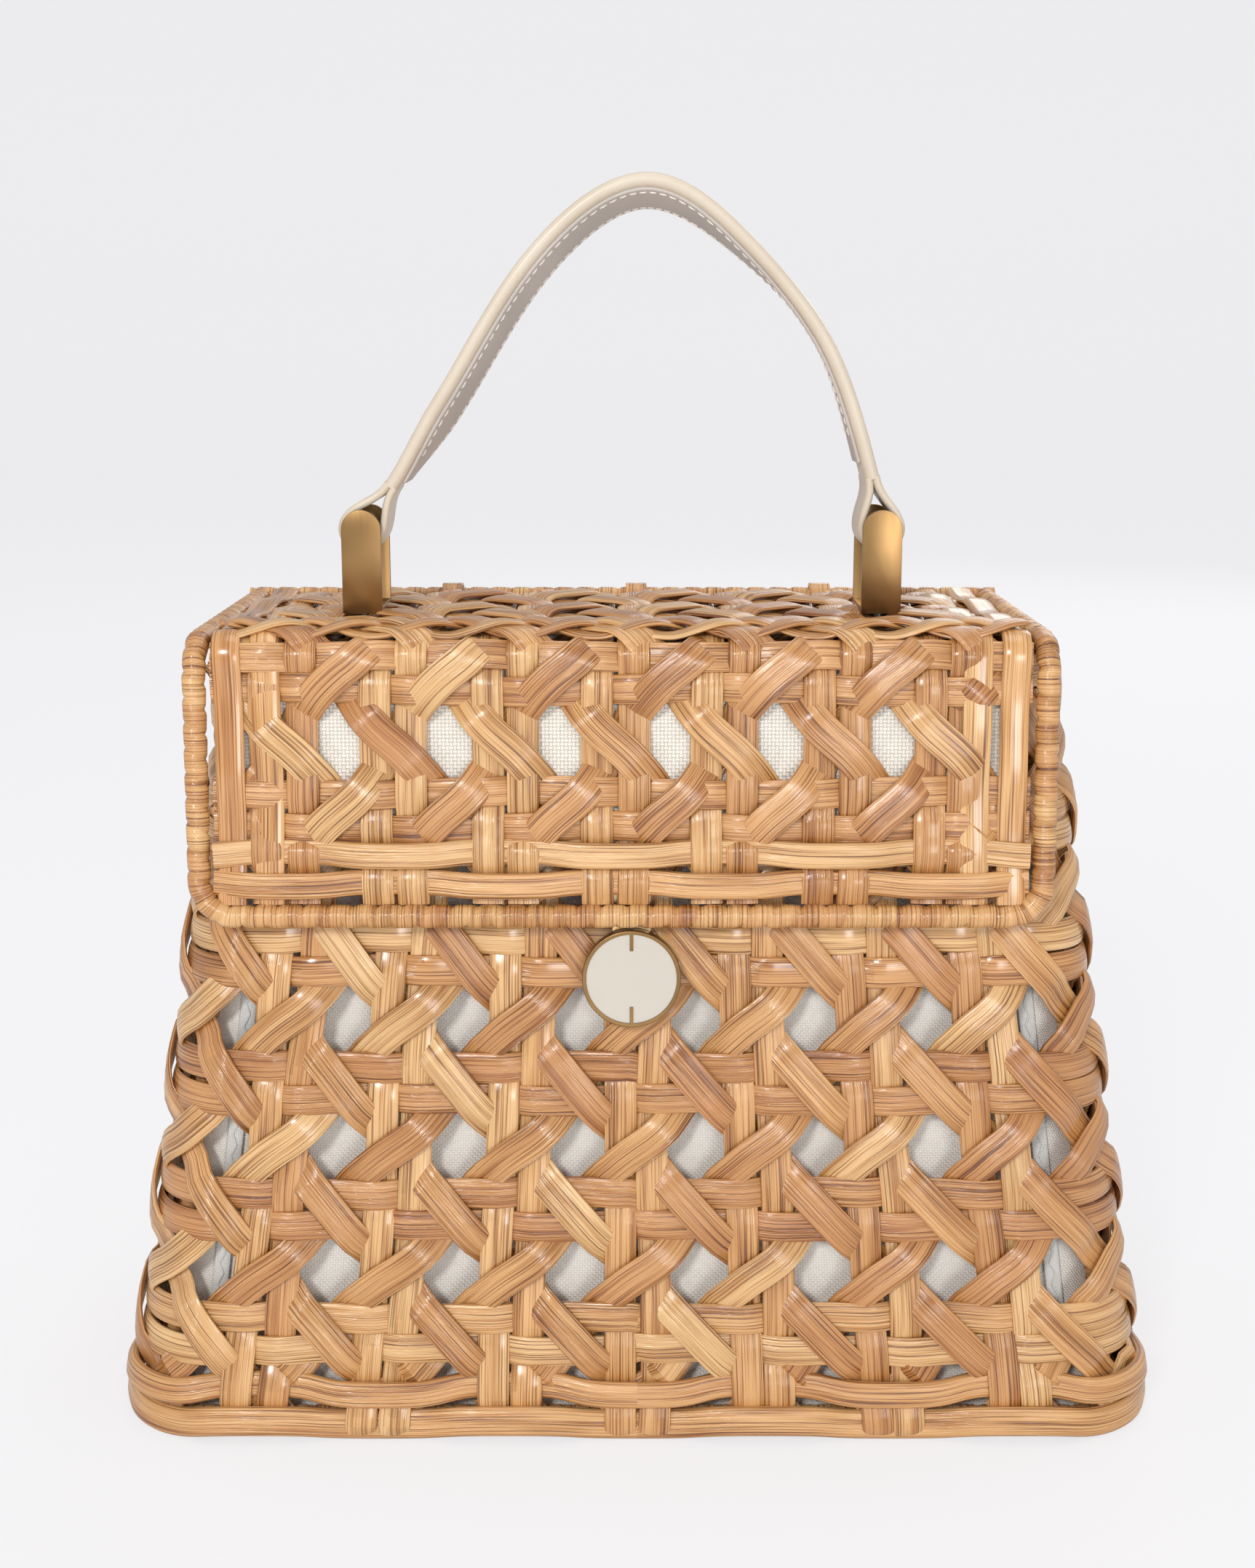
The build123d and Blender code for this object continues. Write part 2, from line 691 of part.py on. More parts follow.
def hinge_rod():
    length = LID_WIDTH
    start = (LID_SHIFT - length / 2, HINGE_Y, HINGE_Z)
    return Solid.make_cylinder(HINGE_ROD_RADIUS, length, Plane(start, z_dir=(1, 0, 0)))


def hinge_loop(x):
    """Cane loop round the lid's rod and the top of the back wall."""
    bottom = BASKET_HEIGHT - LOOP_SLOT_DROP
    hoop_y = half_depth(RIM_HOOP_Z) - HOOP_SINK
    inner_y = hoop_y - ROD_RADIUS
    outer_y = half_depth(bottom) + SLANT_RIDGE + SEAT_GAP
    nub = SEAT_GAP
    circles = [
        Pos(HINGE_Y, HINGE_Z) * Circle(HINGE_ROD_RADIUS + LOOP_RUN),
        Pos(hoop_y, RIM_HOOP_Z) * Circle(ROD_RADIUS + TOUCH_GAP),
        Pos(outer_y, bottom + nub) * Circle(nub),
        Pos(inner_y + nub, bottom + nub) * Circle(nub),
    ]
    edges = [edge for circle in circles for edge in circle.edges()]
    inside = make_hull(edges)
    ring = offset(inside, LOOP_THICK) - inside
    return Pos(x - LOOP_WIDTH / 2, 0, 0) * extrude(
        Plane.YZ * ring, LOOP_WIDTH, dir=(1, 0, 0)
    )


def lid_lining():
    """Canvas panel under the lid and behind the flap, cut out for the tab."""
    gap = LID_CLEAR_FRONT - SEAT_GAP - CANVAS - 2 * TOUCH_GAP
    back = HINGE_Y - 3 * HINGE_ROD_RADIUS
    foot, half = FLAP_BOTTOM + LID_LINING_INSET, WEAVE_HALF - LID_LINING_INSET
    panel = lid_sheet(gap, CANVAS + TOUCH_GAP, back, foot, half)
    tall = TAB_BELOW + TAB_ABOVE + 2 * TAB_ROOM
    cut = Pos(0, (TAB_ABOVE - TAB_BELOW) / 2) * Rectangle(TAB_WIDTH + 2 * TAB_ROOM, tall)
    panel -= clasp_solid(cut, 0, LID_CLEAR_FRONT)
    return panel.cut(*screw_holes(LID_BOTTOM - LID_CLEAR_FRONT, LID_TOP))


def bracket(hand):
    """Brass stirrup: a web on the lid and two round-topped plates."""
    radius = BRACKET_WIDTH / 2
    face = Pos(0, (BRACKET_HEIGHT - radius) / 2) * Rectangle(
        BRACKET_WIDTH, BRACKET_HEIGHT - radius
    )
    face += Pos(0, BRACKET_HEIGHT - radius) * Circle(radius)
    front = Plane(
        (bracket_x(hand), BRACKET_Y - BRACKET_DEPTH / 2, BRACKET_BOTTOM),
        x_dir=(1, 0, 0),
        z_dir=(0, -1, 0),
    )
    solid = extrude(front * face, -BRACKET_DEPTH)
    gap = Box(
        BRACKET_WIDTH + 2 * CUT_MARGIN,
        BRACKET_DEPTH - 2 * BRACKET_WALL,
        BRACKET_HEIGHT,
        align=(Align.CENTER, Align.CENTER, Align.MIN),
    )
    floor = BRACKET_BOTTOM + BRACKET_WALL
    solid -= Pos(bracket_x(hand), BRACKET_Y, floor) * gap
    return solid.cut(*screw_holes(BRACKET_BOTTOM - CUT_MARGIN, floor + CUT_MARGIN))


def bracket_pin(hand):
    """Cross pin between the plates, inside the eye of the strap."""
    length = BRACKET_DEPTH - 2 * BRACKET_WALL
    start = (bracket_x(hand), BRACKET_Y - length / 2, PIN_Z)
    return Solid.make_cylinder(PIN_RADIUS, length, Plane(start, z_dir=(0, 1, 0)))


def backing_top():
    """Upper face of the backing plates, under the lid's lining."""
    gap = LID_CLEAR_FRONT - SEAT_GAP - CANVAS - 2 * TOUCH_GAP
    return LID_BOTTOM - LID_CLEAR_FRONT + gap - TOUCH_GAP


def backing_plate(hand):
    plate = Box(
        BACKING_WIDTH,
        BACKING_DEPTH,
        BACKING_THICK,
        align=(Align.CENTER, Align.CENTER, Align.MAX),
    )
    plate = Pos(bracket_x(hand), BRACKET_Y, backing_top()) * plate
    low = backing_top() - BACKING_THICK - CUT_MARGIN
    return plate.cut(*screw_holes(low, LID_TOP))


def bracket_screws(hand):
    """The two screws of one bracket, put in from below."""
    head_top = backing_top() - BACKING_THICK
    tip = BRACKET_BOTTOM + BRACKET_WALL - SEAT_GAP
    screws = []
    for x, y in screw_places():
        if (x - LID_SHIFT) * hand < 0:
            continue
        base = Plane((x, y, head_top - SCREW_HEAD_HEIGHT))
        head = Solid.make_cylinder(SCREW_HEAD_RADIUS, SCREW_HEAD_HEIGHT, base)
        long = tip - head_top + SCREW_HEAD_HEIGHT
        screws.append(head + Solid.make_cylinder(SCREW_RADIUS, long, base))
    return Compound(children=screws)


def strap_path():
    """Middle line of the strap, in X and Z."""
    rise = STRAP_RISE
    points = [(LID_SHIFT + x, PIN_Z + share * rise) for x, share in STRAP_LINE]
    return Spline(*points)


def strap_band(low, high, start, end):
    """Face between two distances from the strap's middle line."""
    path = strap_path()
    count = 24
    rails = ([], [])
    for index in range(count + 1):
        place = start + (end - start) * index / count
        point, run = path @ place, path % place
        normal = Vector(-run.Y, run.X)
        rails[0].append(point + normal * low)
        rails[1].append(point + normal * high)
    edges = [Spline(*rails[0]), Line(rails[0][-1], rails[1][-1])]
    edges += [Spline(*rails[1]), Line(rails[1][0], rails[0][0])]
    return make_face(edges)


def strap_eye(hand):
    """Looped end of the strap round its pin, pear shaped."""
    pin = Vector(bracket_x(hand), PIN_Z)
    end = strap_path() @ (0 if hand < 0 else 1)
    outer = [Pos(pin) * Circle(LOOP_EYE_RADIUS), Pos(end) * Circle(STRAP_THICK / 2)]
    throat = pin + (end - pin) * 0.5
    inner = [
        Pos(pin) * Circle(LOOP_EYE_RADIUS - LEATHER_PLY),
        Pos(throat) * Circle(SEAT_GAP),
    ]
    hulls = [make_hull([c.edge() for c in ring]) for ring in (outer, inner)]
    return hulls[0], hulls[1]


def across_strap(sketch, width):
    """Solid over a sketch in X and Z, as wide as the strap runs."""
    solid = extrude(Plane.XZ * sketch, width / 2, both=True)
    return Pos(0, BRACKET_Y, 0) * solid


def handle_strap():
    """Folded leather strap with an eye at each end."""
    profile = strap_band(-STRAP_THICK / 2, STRAP_THICK / 2, 0, 1)
    holes = []
    for hand in (-1, 1):
        outer, inner = strap_eye(hand)
        profile += outer
        holes.append(inner)
    for hole in holes:
        profile -= hole
    return across_strap(profile, STRAP_WIDTH)


def handle_inner_strip():
    """Thin leather strip sewn along the inside of the strap."""
    high = -STRAP_THICK / 2 - TOUCH_GAP / 2
    band = strap_band(high - INNER_STRIP_THICK, high, 0.03, 0.97)
    return across_strap(band, STRAP_WIDTH - 2 * STRIP_INSET)


def all_parts():
    """Every node by name."""
    parts = {
        "basket_weave": basket_weave(),
        "foot_strand_lower": foot_strand(0),
        "foot_strand_upper": foot_strand(1),
        "rim_hoop": hoop(RIM_HOOP_Z),
        "base_hoop": hoop(BASE_HOOP_Z),
        "basket_lining": lining(),
        "strike_plate": strike_plate(),
        "strike_washer": strike_washer(),
        "lid_weave": lid_weave(),
        "lid_border": lid_border(),
        "lid_lining": lid_lining(),
        "hinge_rod": hinge_rod(),
        "clasp_tab": clasp_tab(),
        "clasp_disc": clasp_disc(),
        "clasp_enamel": clasp_enamel(),
        "clasp_cam": clasp_cam(),
        "handle_strap": handle_strap(),
        "handle_inner_strip": handle_inner_strip(),
    }
    for sign_y, depth_name in ((-1, "front"), (1, "back")):
        side = SIDES[depth_name]
        for sign_x, hand_name in ((-1, "left"), (1, "right")):
            place = f"{depth_name}_{hand_name}"
            parts[f"corner_post_{place}"] = corner_post(sign_x, sign_y)
            hand = sign_x if sign_y < 0 else -sign_x
            parts[f"seam_tape_{place}"] = seam_tape(side, hand)
    for x, name in zip(loop_places(), ("left", "middle", "right")):
        parts[f"hinge_loop_{name}"] = hinge_loop(x)
    for hand, name in ((-1, "left"), (1, "right")):
        parts[f"bracket_{name}"] = bracket(hand)
        parts[f"bracket_pin_{name}"] = bracket_pin(hand)
        parts[f"backing_plate_{name}"] = backing_plate(hand)
        parts[f"bracket_screws_{name}"] = bracket_screws(hand)
    return parts


os.makedirs("parts", exist_ok=True)
for node, solid in all_parts().items():
    export_step(solid, f"parts/{node}.step")
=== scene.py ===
"""Looks of the woven cane box bag: weave, wrapped rods, cloth, leather and brass.

Metres throughout. The origin is the middle of the underside, -Y is the front.
"""

import logging
import math
import random
from dataclasses import dataclass, field
from enum import Enum
from itertools import chain
from typing import Callable, Iterable, Iterator, Sequence

import bpy
import numpy as np
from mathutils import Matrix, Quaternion, Vector


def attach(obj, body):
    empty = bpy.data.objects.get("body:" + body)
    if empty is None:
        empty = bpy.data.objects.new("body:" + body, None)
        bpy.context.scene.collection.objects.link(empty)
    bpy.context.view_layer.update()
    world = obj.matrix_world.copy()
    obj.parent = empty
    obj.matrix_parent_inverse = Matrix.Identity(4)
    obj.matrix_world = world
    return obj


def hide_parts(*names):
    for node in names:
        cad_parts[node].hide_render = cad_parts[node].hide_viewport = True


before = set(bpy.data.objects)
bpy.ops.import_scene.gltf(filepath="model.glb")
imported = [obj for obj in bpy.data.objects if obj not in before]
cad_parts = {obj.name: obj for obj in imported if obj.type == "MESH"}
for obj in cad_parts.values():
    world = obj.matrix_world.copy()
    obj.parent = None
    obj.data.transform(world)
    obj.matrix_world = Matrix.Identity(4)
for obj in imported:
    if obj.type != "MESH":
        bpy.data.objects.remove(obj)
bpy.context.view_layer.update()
LOG = logging.getLogger("box_bag")

Colour = tuple[float, float, float]
Place = tuple[Vector, Vector]
Section = list[tuple[float, float]]
Keys = list[tuple[float, float]]
Stops = tuple[tuple[float, Colour], ...]
Maps = list[Sequence[tuple[float, float]]]

SEED = 11
WRAP_TURN = 0.0062
WRAP_SIDES = 12
WRAP_EDGE = 0.22
WRAP_HOLLOW = 0.26
WRAP_SLOPE = 0.08
WRAP_TONES = 0.40
ROD_SMOOTH = 45


class Hand(Enum):
    """Left or right, as seen from the front."""

    LEFT = -1
    RIGHT = 1


class Slant(Enum):
    """Which way a slanted strip climbs, seen from the front."""

    RISING = 1
    FALLING = -1


def linear(colour: Colour) -> tuple[float, float, float, float]:
    """Turns a display colour into the scene's linear colour.

    Args:
        colour: Red, green and blue from 0 to 1, as seen on a screen.

    Returns:
        The linear colour with full alpha.
    """
    parts = [c / 12.92 if c <= 0.04045 else ((c + 0.055) / 1.055) ** 2.4 for c in colour]
    return (parts[0], parts[1], parts[2], 1.0)


# Node groups


class GroupMaker:
    """Builds a shader node group with named sockets."""

    def __init__(self, name: str, inputs: dict[str, float], outputs: Sequence[str]) -> None:
        """Starts the group.

        Args:
            name: Name of the group.
            inputs: Default of each number that a material may set.
            outputs: Names of the values that the group gives.
        """
        self.tree = bpy.data.node_groups.new(name, "ShaderNodeTree")
        face = self.tree.interface
        for label, value in inputs.items():
            socket = face.new_socket(label, in_out="INPUT", socket_type="NodeSocketFloat")
            socket.default_value = value
        for label in outputs:
            face.new_socket(label, in_out="OUTPUT", socket_type="NodeSocketFloat")
        self.entry = self.tree.nodes.new("NodeGroupInput")
        self.exit = self.tree.nodes.new("NodeGroupOutput")

    def add(self, kind: str, **settings: object) -> bpy.types.Node:
        """Adds a node.

        Args:
            kind: Blender's name of the node type.
            **settings: Properties to set on it.

        Returns:
            The node.
        """
        node = self.tree.nodes.new(kind)
        for label, value in settings.items():
            setattr(node, label, value)
        return node

    def join(self, source: bpy.types.NodeSocket, target: bpy.types.NodeSocket) -> None:
        """Links one socket to another.

        Args:
            source: Socket that gives the value.
            target: Socket that takes it.
        """
        self.tree.links.new(source, target)

    def split(self, vector: bpy.types.NodeSocket) -> bpy.types.Node:
        """Splits a vector.

        Args:
            vector: Socket of the vector.

        Returns:
            The node, with one output for each axis.
        """
        node = self.add("ShaderNodeSeparateXYZ")
        self.join(vector, node.inputs[0])
        return node

    def stretch(self, parts: bpy.types.Node, scales: Sequence[object]) -> bpy.types.NodeSocket:
        """Puts a split vector together again with each axis scaled.

        Args:
            parts: Node of the split vector.
            scales: Socket or number for each axis, from X on.

        Returns:
            The scaled vector, 0 on an axis without a scale.
        """
        node = self.add("ShaderNodeCombineXYZ")
        for axis, scale in enumerate(scales):
            self.join(self.maths("MULTIPLY", parts.outputs[axis], scale), node.inputs[axis])
        return node.outputs[0]

    def weighted(self, *parts: tuple[bpy.types.NodeSocket, object]) -> bpy.types.NodeSocket:
        """Adds up values.

        Args:
            *parts: Each value with its weight, a socket or number.

        Returns:
            The weighted sum.
        """
        total = self.maths("MULTIPLY", *parts[0])
        for part in parts[1:]:
            total = self.maths("ADD", total, self.maths("MULTIPLY", *part))
        return total

    def give(self, **outputs: bpy.types.NodeSocket) -> bpy.types.NodeTree:
        """Ends the group.

        Args:
            **outputs: Value of each output.

        Returns:
            The group.
        """
        for label, socket in outputs.items():
            self.join(socket, self.exit.inputs[label])
        return self.tree

    def maths(self, kind: str, first: object, second: object = 0.0) -> bpy.types.NodeSocket:
        """Adds a maths node on two sockets or numbers.

        Args:
            kind: Blender's name of the operation.
            first: Socket or number.
            second: Socket or number.

        Returns:
            The node's value.
        """
        node = self.add("ShaderNodeMath", operation=kind)
        for place, item in enumerate((first, second)):
            if isinstance(item, bpy.types.NodeSocket):
                self.join(item, node.inputs[place])
            else:
                node.inputs[place].default_value = item
        return node.outputs[0]

    def noise(self, vector: bpy.types.NodeSocket, scale: float,
              detail: float) -> bpy.types.NodeSocket:
        """Adds a noise texture.

        Args:
            vector: Where the texture is read.
            scale: Blender's scale of the noise.
            detail: Number of finer layers.

        Returns:
            The noise, around 0.5.
        """
        node = self.add("ShaderNodeTexNoise")
        node.inputs["Scale"].default_value = scale
        node.inputs["Detail"].default_value = detail
        self.join(vector, node.inputs["Vector"])
        return node.outputs["Fac"]


def strip_grain_group() -> bpy.types.NodeTree:
    """Fine lines along a cane strip, from its own map.

    Returns:
        Group with outputs Shade, Height and Patch, all around 0.5.
    """
    maker = GroupMaker(
        "strip_grain", {"Lines": 2600.0, "Run": 24.0}, ("Shade", "Height", "Patch")
    )
    entry = maker.entry.outputs
    parts = maker.split(maker.add("ShaderNodeUVMap").outputs[0])
    lines = maker.noise(maker.stretch(parts, (entry["Run"], entry["Lines"])), 1.0, 3.0)
    bands = maker.noise(maker.stretch(parts, (12.0, 1300.0)), 1.0, 2.0)
    patch = maker.noise(maker.stretch(parts, (22.0, 260.0)), 1.0, 2.0)
    shade = maker.weighted((lines, 0.55), (bands, 0.3), (patch, 0.15))
    return maker.give(Shade=shade, Height=lines, Patch=patch)


def cloth_weave_group() -> bpy.types.NodeTree:
    """Plain woven threads, from a cloth's own map.

    Returns:
        Group with outputs Shade and Height, both from 0 to about 1. Shade is darker where the
        threads dip, which is painted shade, with real uneven slub added.
    """
    maker = GroupMaker("cloth_weave", {"Threads": 1500.0, "Slub": 0.35}, ("Shade", "Height"))
    place = maker.add("ShaderNodeUVMap").outputs[0]
    parts = maker.split(place)
    waves = []
    for axis in (0, 1):
        turn = maker.maths("MULTIPLY", parts.outputs[axis], maker.entry.outputs["Threads"])
        waves.append(maker.maths("SINE", maker.maths("MULTIPLY", turn, math.pi)))
    across, along = (maker.maths("ABSOLUTE", wave) for wave in waves)
    over = maker.maths("GREATER_THAN", maker.maths("MULTIPLY", *waves), 0.0)
    under = maker.maths("SUBTRACT", 1.0, over)
    height = maker.weighted((across, over), (along, under))
    uneven = maker.maths(
        "MULTIPLY", maker.noise(place, 420.0, 3.0), maker.entry.outputs["Slub"]
    )
    # Painted shade: the low parts of the weave come out darker; the slub noise is real unevenness.
    shade = maker.maths("ADD", maker.maths("MULTIPLY", height, 0.6), uneven)
    return maker.give(Shade=shade, Height=maker.maths("ADD", height, uneven))


def fine_marks_group() -> bpy.types.NodeTree:
    """Small uneven marks in the object's own space, for leather and metal.

    Returns:
        Group with outputs Fine and Broad, both from 0 to 1.
    """
    maker = GroupMaker("fine_marks", {"Across": 900.0, "Upright": 900.0}, ("Fine", "Broad"))
    place = maker.add("ShaderNodeTexCoord").outputs["Object"]
    across, upright = maker.entry.outputs["Across"], maker.entry.outputs["Upright"]
    stretched = maker.stretch(maker.split(place), (across, across, upright))
    return maker.give(
        Fine=maker.noise(stretched, 1.0, 4.0), Broad=maker.noise(place, 38.0, 2.0)
    )


# Finishes


class Finish:
    """One material in the making."""

    def __init__(self, name: str, roughness: float, metallic: float = 0.0) -> None:
        """Starts the material with its shader.

        Args:
            name: Name of the material.
            roughness: Roughness of the surface.
            metallic: 1 for a metal.
        """
        self.material = bpy.data.materials.new(name)
        self.material.use_nodes = True
        self.tree = self.material.node_tree
        self.shader = self.tree.nodes["Principled BSDF"]
        self.shader.inputs["Roughness"].default_value = roughness
        self.shader.inputs["Metallic"].default_value = metallic

    def group(self, tree: bpy.types.NodeTree, **values: float) -> bpy.types.Node:
        """Places a node group.

        Args:
            tree: The group.
            **values: Numbers for its inputs.

        Returns:
            The node that stands for the group.
        """
        node = self.tree.nodes.new("ShaderNodeGroup")
        node.node_tree = tree
        for label, value in values.items():
            node.inputs[label].default_value = value
        return node

    def ramp(self, factor: bpy.types.NodeSocket, stops: Stops) -> bpy.types.NodeSocket:
        """Adds a colour ramp on a factor.

        Args:
            factor: Value that picks the colour.
            stops: Place and display colour of each stop.

        Returns:
            The ramp's colour.
        """
        node = self.tree.nodes.new("ShaderNodeValToRGB")
        points = node.color_ramp.elements
        while len(points) < len(stops):
            points.new(0.5)
        for point, (place, colour) in zip(points, stops):
            point.position = place
            point.color = linear(colour)
        self.tree.links.new(factor, node.inputs["Fac"])
        return node.outputs["Color"]

    def multiply(self, share: float, first: bpy.types.NodeSocket,
                 second: bpy.types.NodeSocket) -> bpy.types.NodeSocket:
        """Multiplies two colours.

        Args:
            share: Share of the effect.
            first: Colour to change.
            second: Colour to multiply it by.

        Returns:
            The product.
        """
        node = self.tree.nodes.new("ShaderNodeMix")
        node.data_type = "RGBA"
        node.blend_type = "MULTIPLY"
        # The colour sockets follow those for numbers and vectors.
        factor, base, other = node.inputs[0], node.inputs[6], node.inputs[7]
        factor.default_value = share
        self.tree.links.new(first, base)
        self.tree.links.new(second, other)
        return node.outputs[2]

    def colour(self, value: bpy.types.NodeSocket) -> None:
        """Links the base colour.

        Args:
            value: Socket of the colour.
        """
        self.tree.links.new(value, self.shader.inputs["Base Color"])

    def coat(self, weight: float, roughness: float) -> None:
        """Lays a clear coat over the surface.

        Args:
            weight: Share of the coat.
            roughness: Roughness of the coat.
        """
        self.shader.inputs["Coat Weight"].default_value = weight
        self.shader.inputs["Coat Roughness"].default_value = roughness

    def bump(self, height: bpy.types.NodeSocket, depth: float, strength: float) -> None:
        """Raises the surface by a height.

        Args:
            height: Height value.
            depth: Distance in metres that a height of 1 stands for.
            strength: Share of the effect.
        """
        node = self.tree.nodes.new("ShaderNodeBump")
        node.inputs["Distance"].default_value = depth
        node.inputs["Strength"].default_value = strength
        self.tree.links.new(height, node.inputs["Height"])
        self.tree.links.new(node.outputs[0], self.shader.inputs["Normal"])

    def spread(self, factor: bpy.types.NodeSocket, low: float, high: float) -> None:
        """Lets the roughness run between two values.

        Args:
            factor: Value from 0 to 1 that picks the roughness.
            low: Roughness at 0.
            high: Roughness at 1.
        """
        node = self.tree.nodes.new("ShaderNodeMapRange")
        node.inputs["To Min"].default_value = low
        node.inputs["To Max"].default_value = high
        self.tree.links.new(factor, node.inputs["Value"])
        self.tree.links.new(node.outputs[0], self.shader.inputs["Roughness"])


@dataclass(frozen=True)
class CaneFinish:
    """Varnished cane strip, lighter or redder from strip to strip."""

    name: str = "varnished_cane"
    light: Colour = (0.925, 0.765, 0.55)
    middle: Colour = (0.885, 0.685, 0.455)
    deep: Colour = (0.80, 0.575, 0.36)
    roughness: float = 0.22
    coat: float = 0.15
    coat_roughness: float = 0.12
    shine: float = 0.85
    grain_depth: float = 0.00038
    streak_share: float = 0.85
    patches: Stops = (
        (0.30, (0.86, 0.79, 0.68)), (0.50, (0.97, 0.96, 0.93)), (0.70, (1.0, 1.0, 1.0)),
    )
    streaks: Stops = (
        (0.38, (0.46, 0.29, 0.16)), (0.45, (0.83, 0.73, 0.61)), (0.53, (1.0, 1.0, 1.0)),
    )

    def build(self, grain: bpy.types.NodeTree) -> bpy.types.Material:
        """Makes the material.

        Args:
            grain: The strip grain group.

        Returns:
            The cane material, which reads a piece's map and its tone attribute.
        """
        made = Finish(self.name, self.roughness)
        tone = made.tree.nodes.new("ShaderNodeAttribute")
        tone.attribute_name = "tone"
        lines = made.group(grain)
        tints = ((0.0, self.light), (0.55, self.middle), (1.0, self.deep))
        strip = made.ramp(tone.outputs["Fac"], tints)
        washed = made.multiply(1.0, strip, made.ramp(lines.outputs["Patch"], self.patches))
        streak = made.ramp(lines.outputs["Shade"], self.streaks)
        made.colour(made.multiply(self.streak_share, washed, streak))
        made.coat(self.coat, self.coat_roughness)
        made.shader.inputs["Specular IOR Level"].default_value = self.shine
        made.bump(lines.outputs["Height"], self.grain_depth, 1.0)
        return made.material


@dataclass(frozen=True)
class ClothFinish:
    """Woven cotton or linen."""

    name: str
    thread: Colour
    shadow: Colour
    threads: float
    slub: float
    depth: float
    roughness: float = 0.9
    sheen: float = 0.15

    def build(self, weave: bpy.types.NodeTree) -> bpy.types.Material:
        """Makes the material.

        Args:
            weave: The cloth weave group.

        Returns:
            The cloth material, which reads a piece's map.
        """
        made = Finish(self.name, self.roughness)
        cloth = made.group(weave, Threads=self.threads, Slub=self.slub)
        # Painted shade: the shadow colour falls where the threads dip, mixed with real uneven slub.
        made.colour(made.ramp(cloth.outputs["Shade"], ((0.15, self.shadow), (0.75, self.thread))))
        made.shader.inputs["Sheen Weight"].default_value = self.sheen
        made.bump(cloth.outputs["Height"], self.depth, 0.8)
        return made.material


@dataclass(frozen=True)
class LeatherFinish:
    """Smooth leather with a faint grain."""

    name: str
    light: Colour
    dark: Colour
    roughness: float
    pores: float = 1100.0
    depth: float = 0.0001

    def build(self, marks: bpy.types.NodeTree) -> bpy.types.Material:
        """Makes the material.

        Args:
            marks: The fine marks group.

        Returns:
            The leather material.
        """
        made = Finish(self.name, self.roughness)
        fine = made.group(marks, Across=self.pores, Upright=self.pores)
        made.colour(made.ramp(fine.outputs["Broad"], ((0.35, self.dark), (0.62, self.light))))
        made.coat(0.12, 0.3)
        made.bump(fine.outputs["Fine"], self.depth, 0.5)
        return made.material


@dataclass(frozen=True)
class MetalFinish:
    """Brushed or polished metal."""

    name: str
    light: Colour
    dark: Colour
    smooth: float
    rough: float
    across: float
    upright: float
    depth: float = 0.00002

    def build(self, marks: bpy.types.NodeTree) -> bpy.types.Material:
        """Makes the material.

        Args:
            marks: The fine marks group.

        Returns:
            The metal material.
        """
        made = Finish(self.name, self.rough, 1.0)
        fine = made.group(marks, Across=self.across, Upright=self.upright)
        made.colour(made.ramp(fine.outputs["Broad"], ((0.35, self.dark), (0.6, self.light))))
        made.spread(fine.outputs["Fine"], self.smooth, self.rough)
        made.bump(fine.outputs["Fine"], self.depth, 0.4)
        return made.material


@dataclass(frozen=True)
class PlainFinish:
    """Even finish, such as enamel or thread."""

    name: str
    tint: Colour
    roughness: float
    coat: float = 0.0
    darker: float = 0.985

    def build(self, marks: bpy.types.NodeTree) -> bpy.types.Material:
        """Makes the material.

        Args:
            marks: The fine marks group.

        Returns:
            The material, a little darker in places.
        """
        made = Finish(self.name, self.roughness)
        fine = made.group(marks, Across=300.0, Upright=300.0)
        dark = tuple(part * self.darker for part in self.tint)
        made.colour(made.ramp(fine.outputs["Broad"], ((0.3, dark), (0.7, self.tint))))
        made.coat(self.coat, 0.08)
        return made.material


class FinishBook:
    """Every finish of the bag, made once."""

    def __init__(self) -> None:
        """Builds the shared groups and the materials."""
        grain = strip_grain_group()
        weave = cloth_weave_group()
        marks = fine_marks_group()
        self.cane = CaneFinish().build(grain)
        self.wrap = CaneFinish(
            name="wrapped_cane", light=(0.92, 0.75, 0.52), middle=(0.87, 0.66, 0.43), roughness=0.24
        ).build(grain)
        self.canvas = ClothFinish(
            "lining_canvas", (1.0, 0.985, 0.955), (0.93, 0.905, 0.865), 1500.0, 0.3, 0.00018
        ).build(weave)
        self.linen = ClothFinish(
            "flap_linen", (0.985, 0.965, 0.925), (0.80, 0.77, 0.71), 1050.0, 0.45, 0.0003
        ).build(weave)
        self.tape = ClothFinish(
            "seam_tape", (0.93, 0.93, 0.92), (0.80, 0.79, 0.77), 2200.0, 0.2, 0.0001
        ).build(weave)
        self.leather = LeatherFinish(
            "cream_leather", (0.85, 0.80, 0.725), (0.82, 0.765, 0.685), 0.36
        ).build(marks)
        self.leather_inside = LeatherFinish(
            "inner_leather", (0.77, 0.735, 0.705), (0.73, 0.70, 0.67), 0.55
        ).build(marks)
        self.thread = PlainFinish("sewing_thread", (0.93, 0.91, 0.87), 0.7).build(marks)
        self.enamel = PlainFinish("cream_enamel", (0.80, 0.77, 0.72), 0.28, 0.4).build(marks)
        self.brass = MetalFinish(
            "antique_brass", (0.63, 0.50, 0.33), (0.52, 0.40, 0.26), 0.26, 0.40, 1900.0, 50.0
        ).build(marks)
        self.pale_gold = MetalFinish(
            "pale_gold", (0.86, 0.77, 0.60), (0.80, 0.70, 0.52), 0.2, 0.34, 1200.0, 90.0
        ).build(marks)
        self.steel = MetalFinish(
            "plain_steel", (0.62, 0.62, 0.62), (0.52, 0.52, 0.53), 0.25, 0.4, 500.0, 500.0
        ).build(marks)


# Mesh helpers


def deselect_all() -> None:
    """Leaves nothing selected, so an operator acts on its own piece only."""
    for item in bpy.context.selected_objects:
        item.select_set(False)


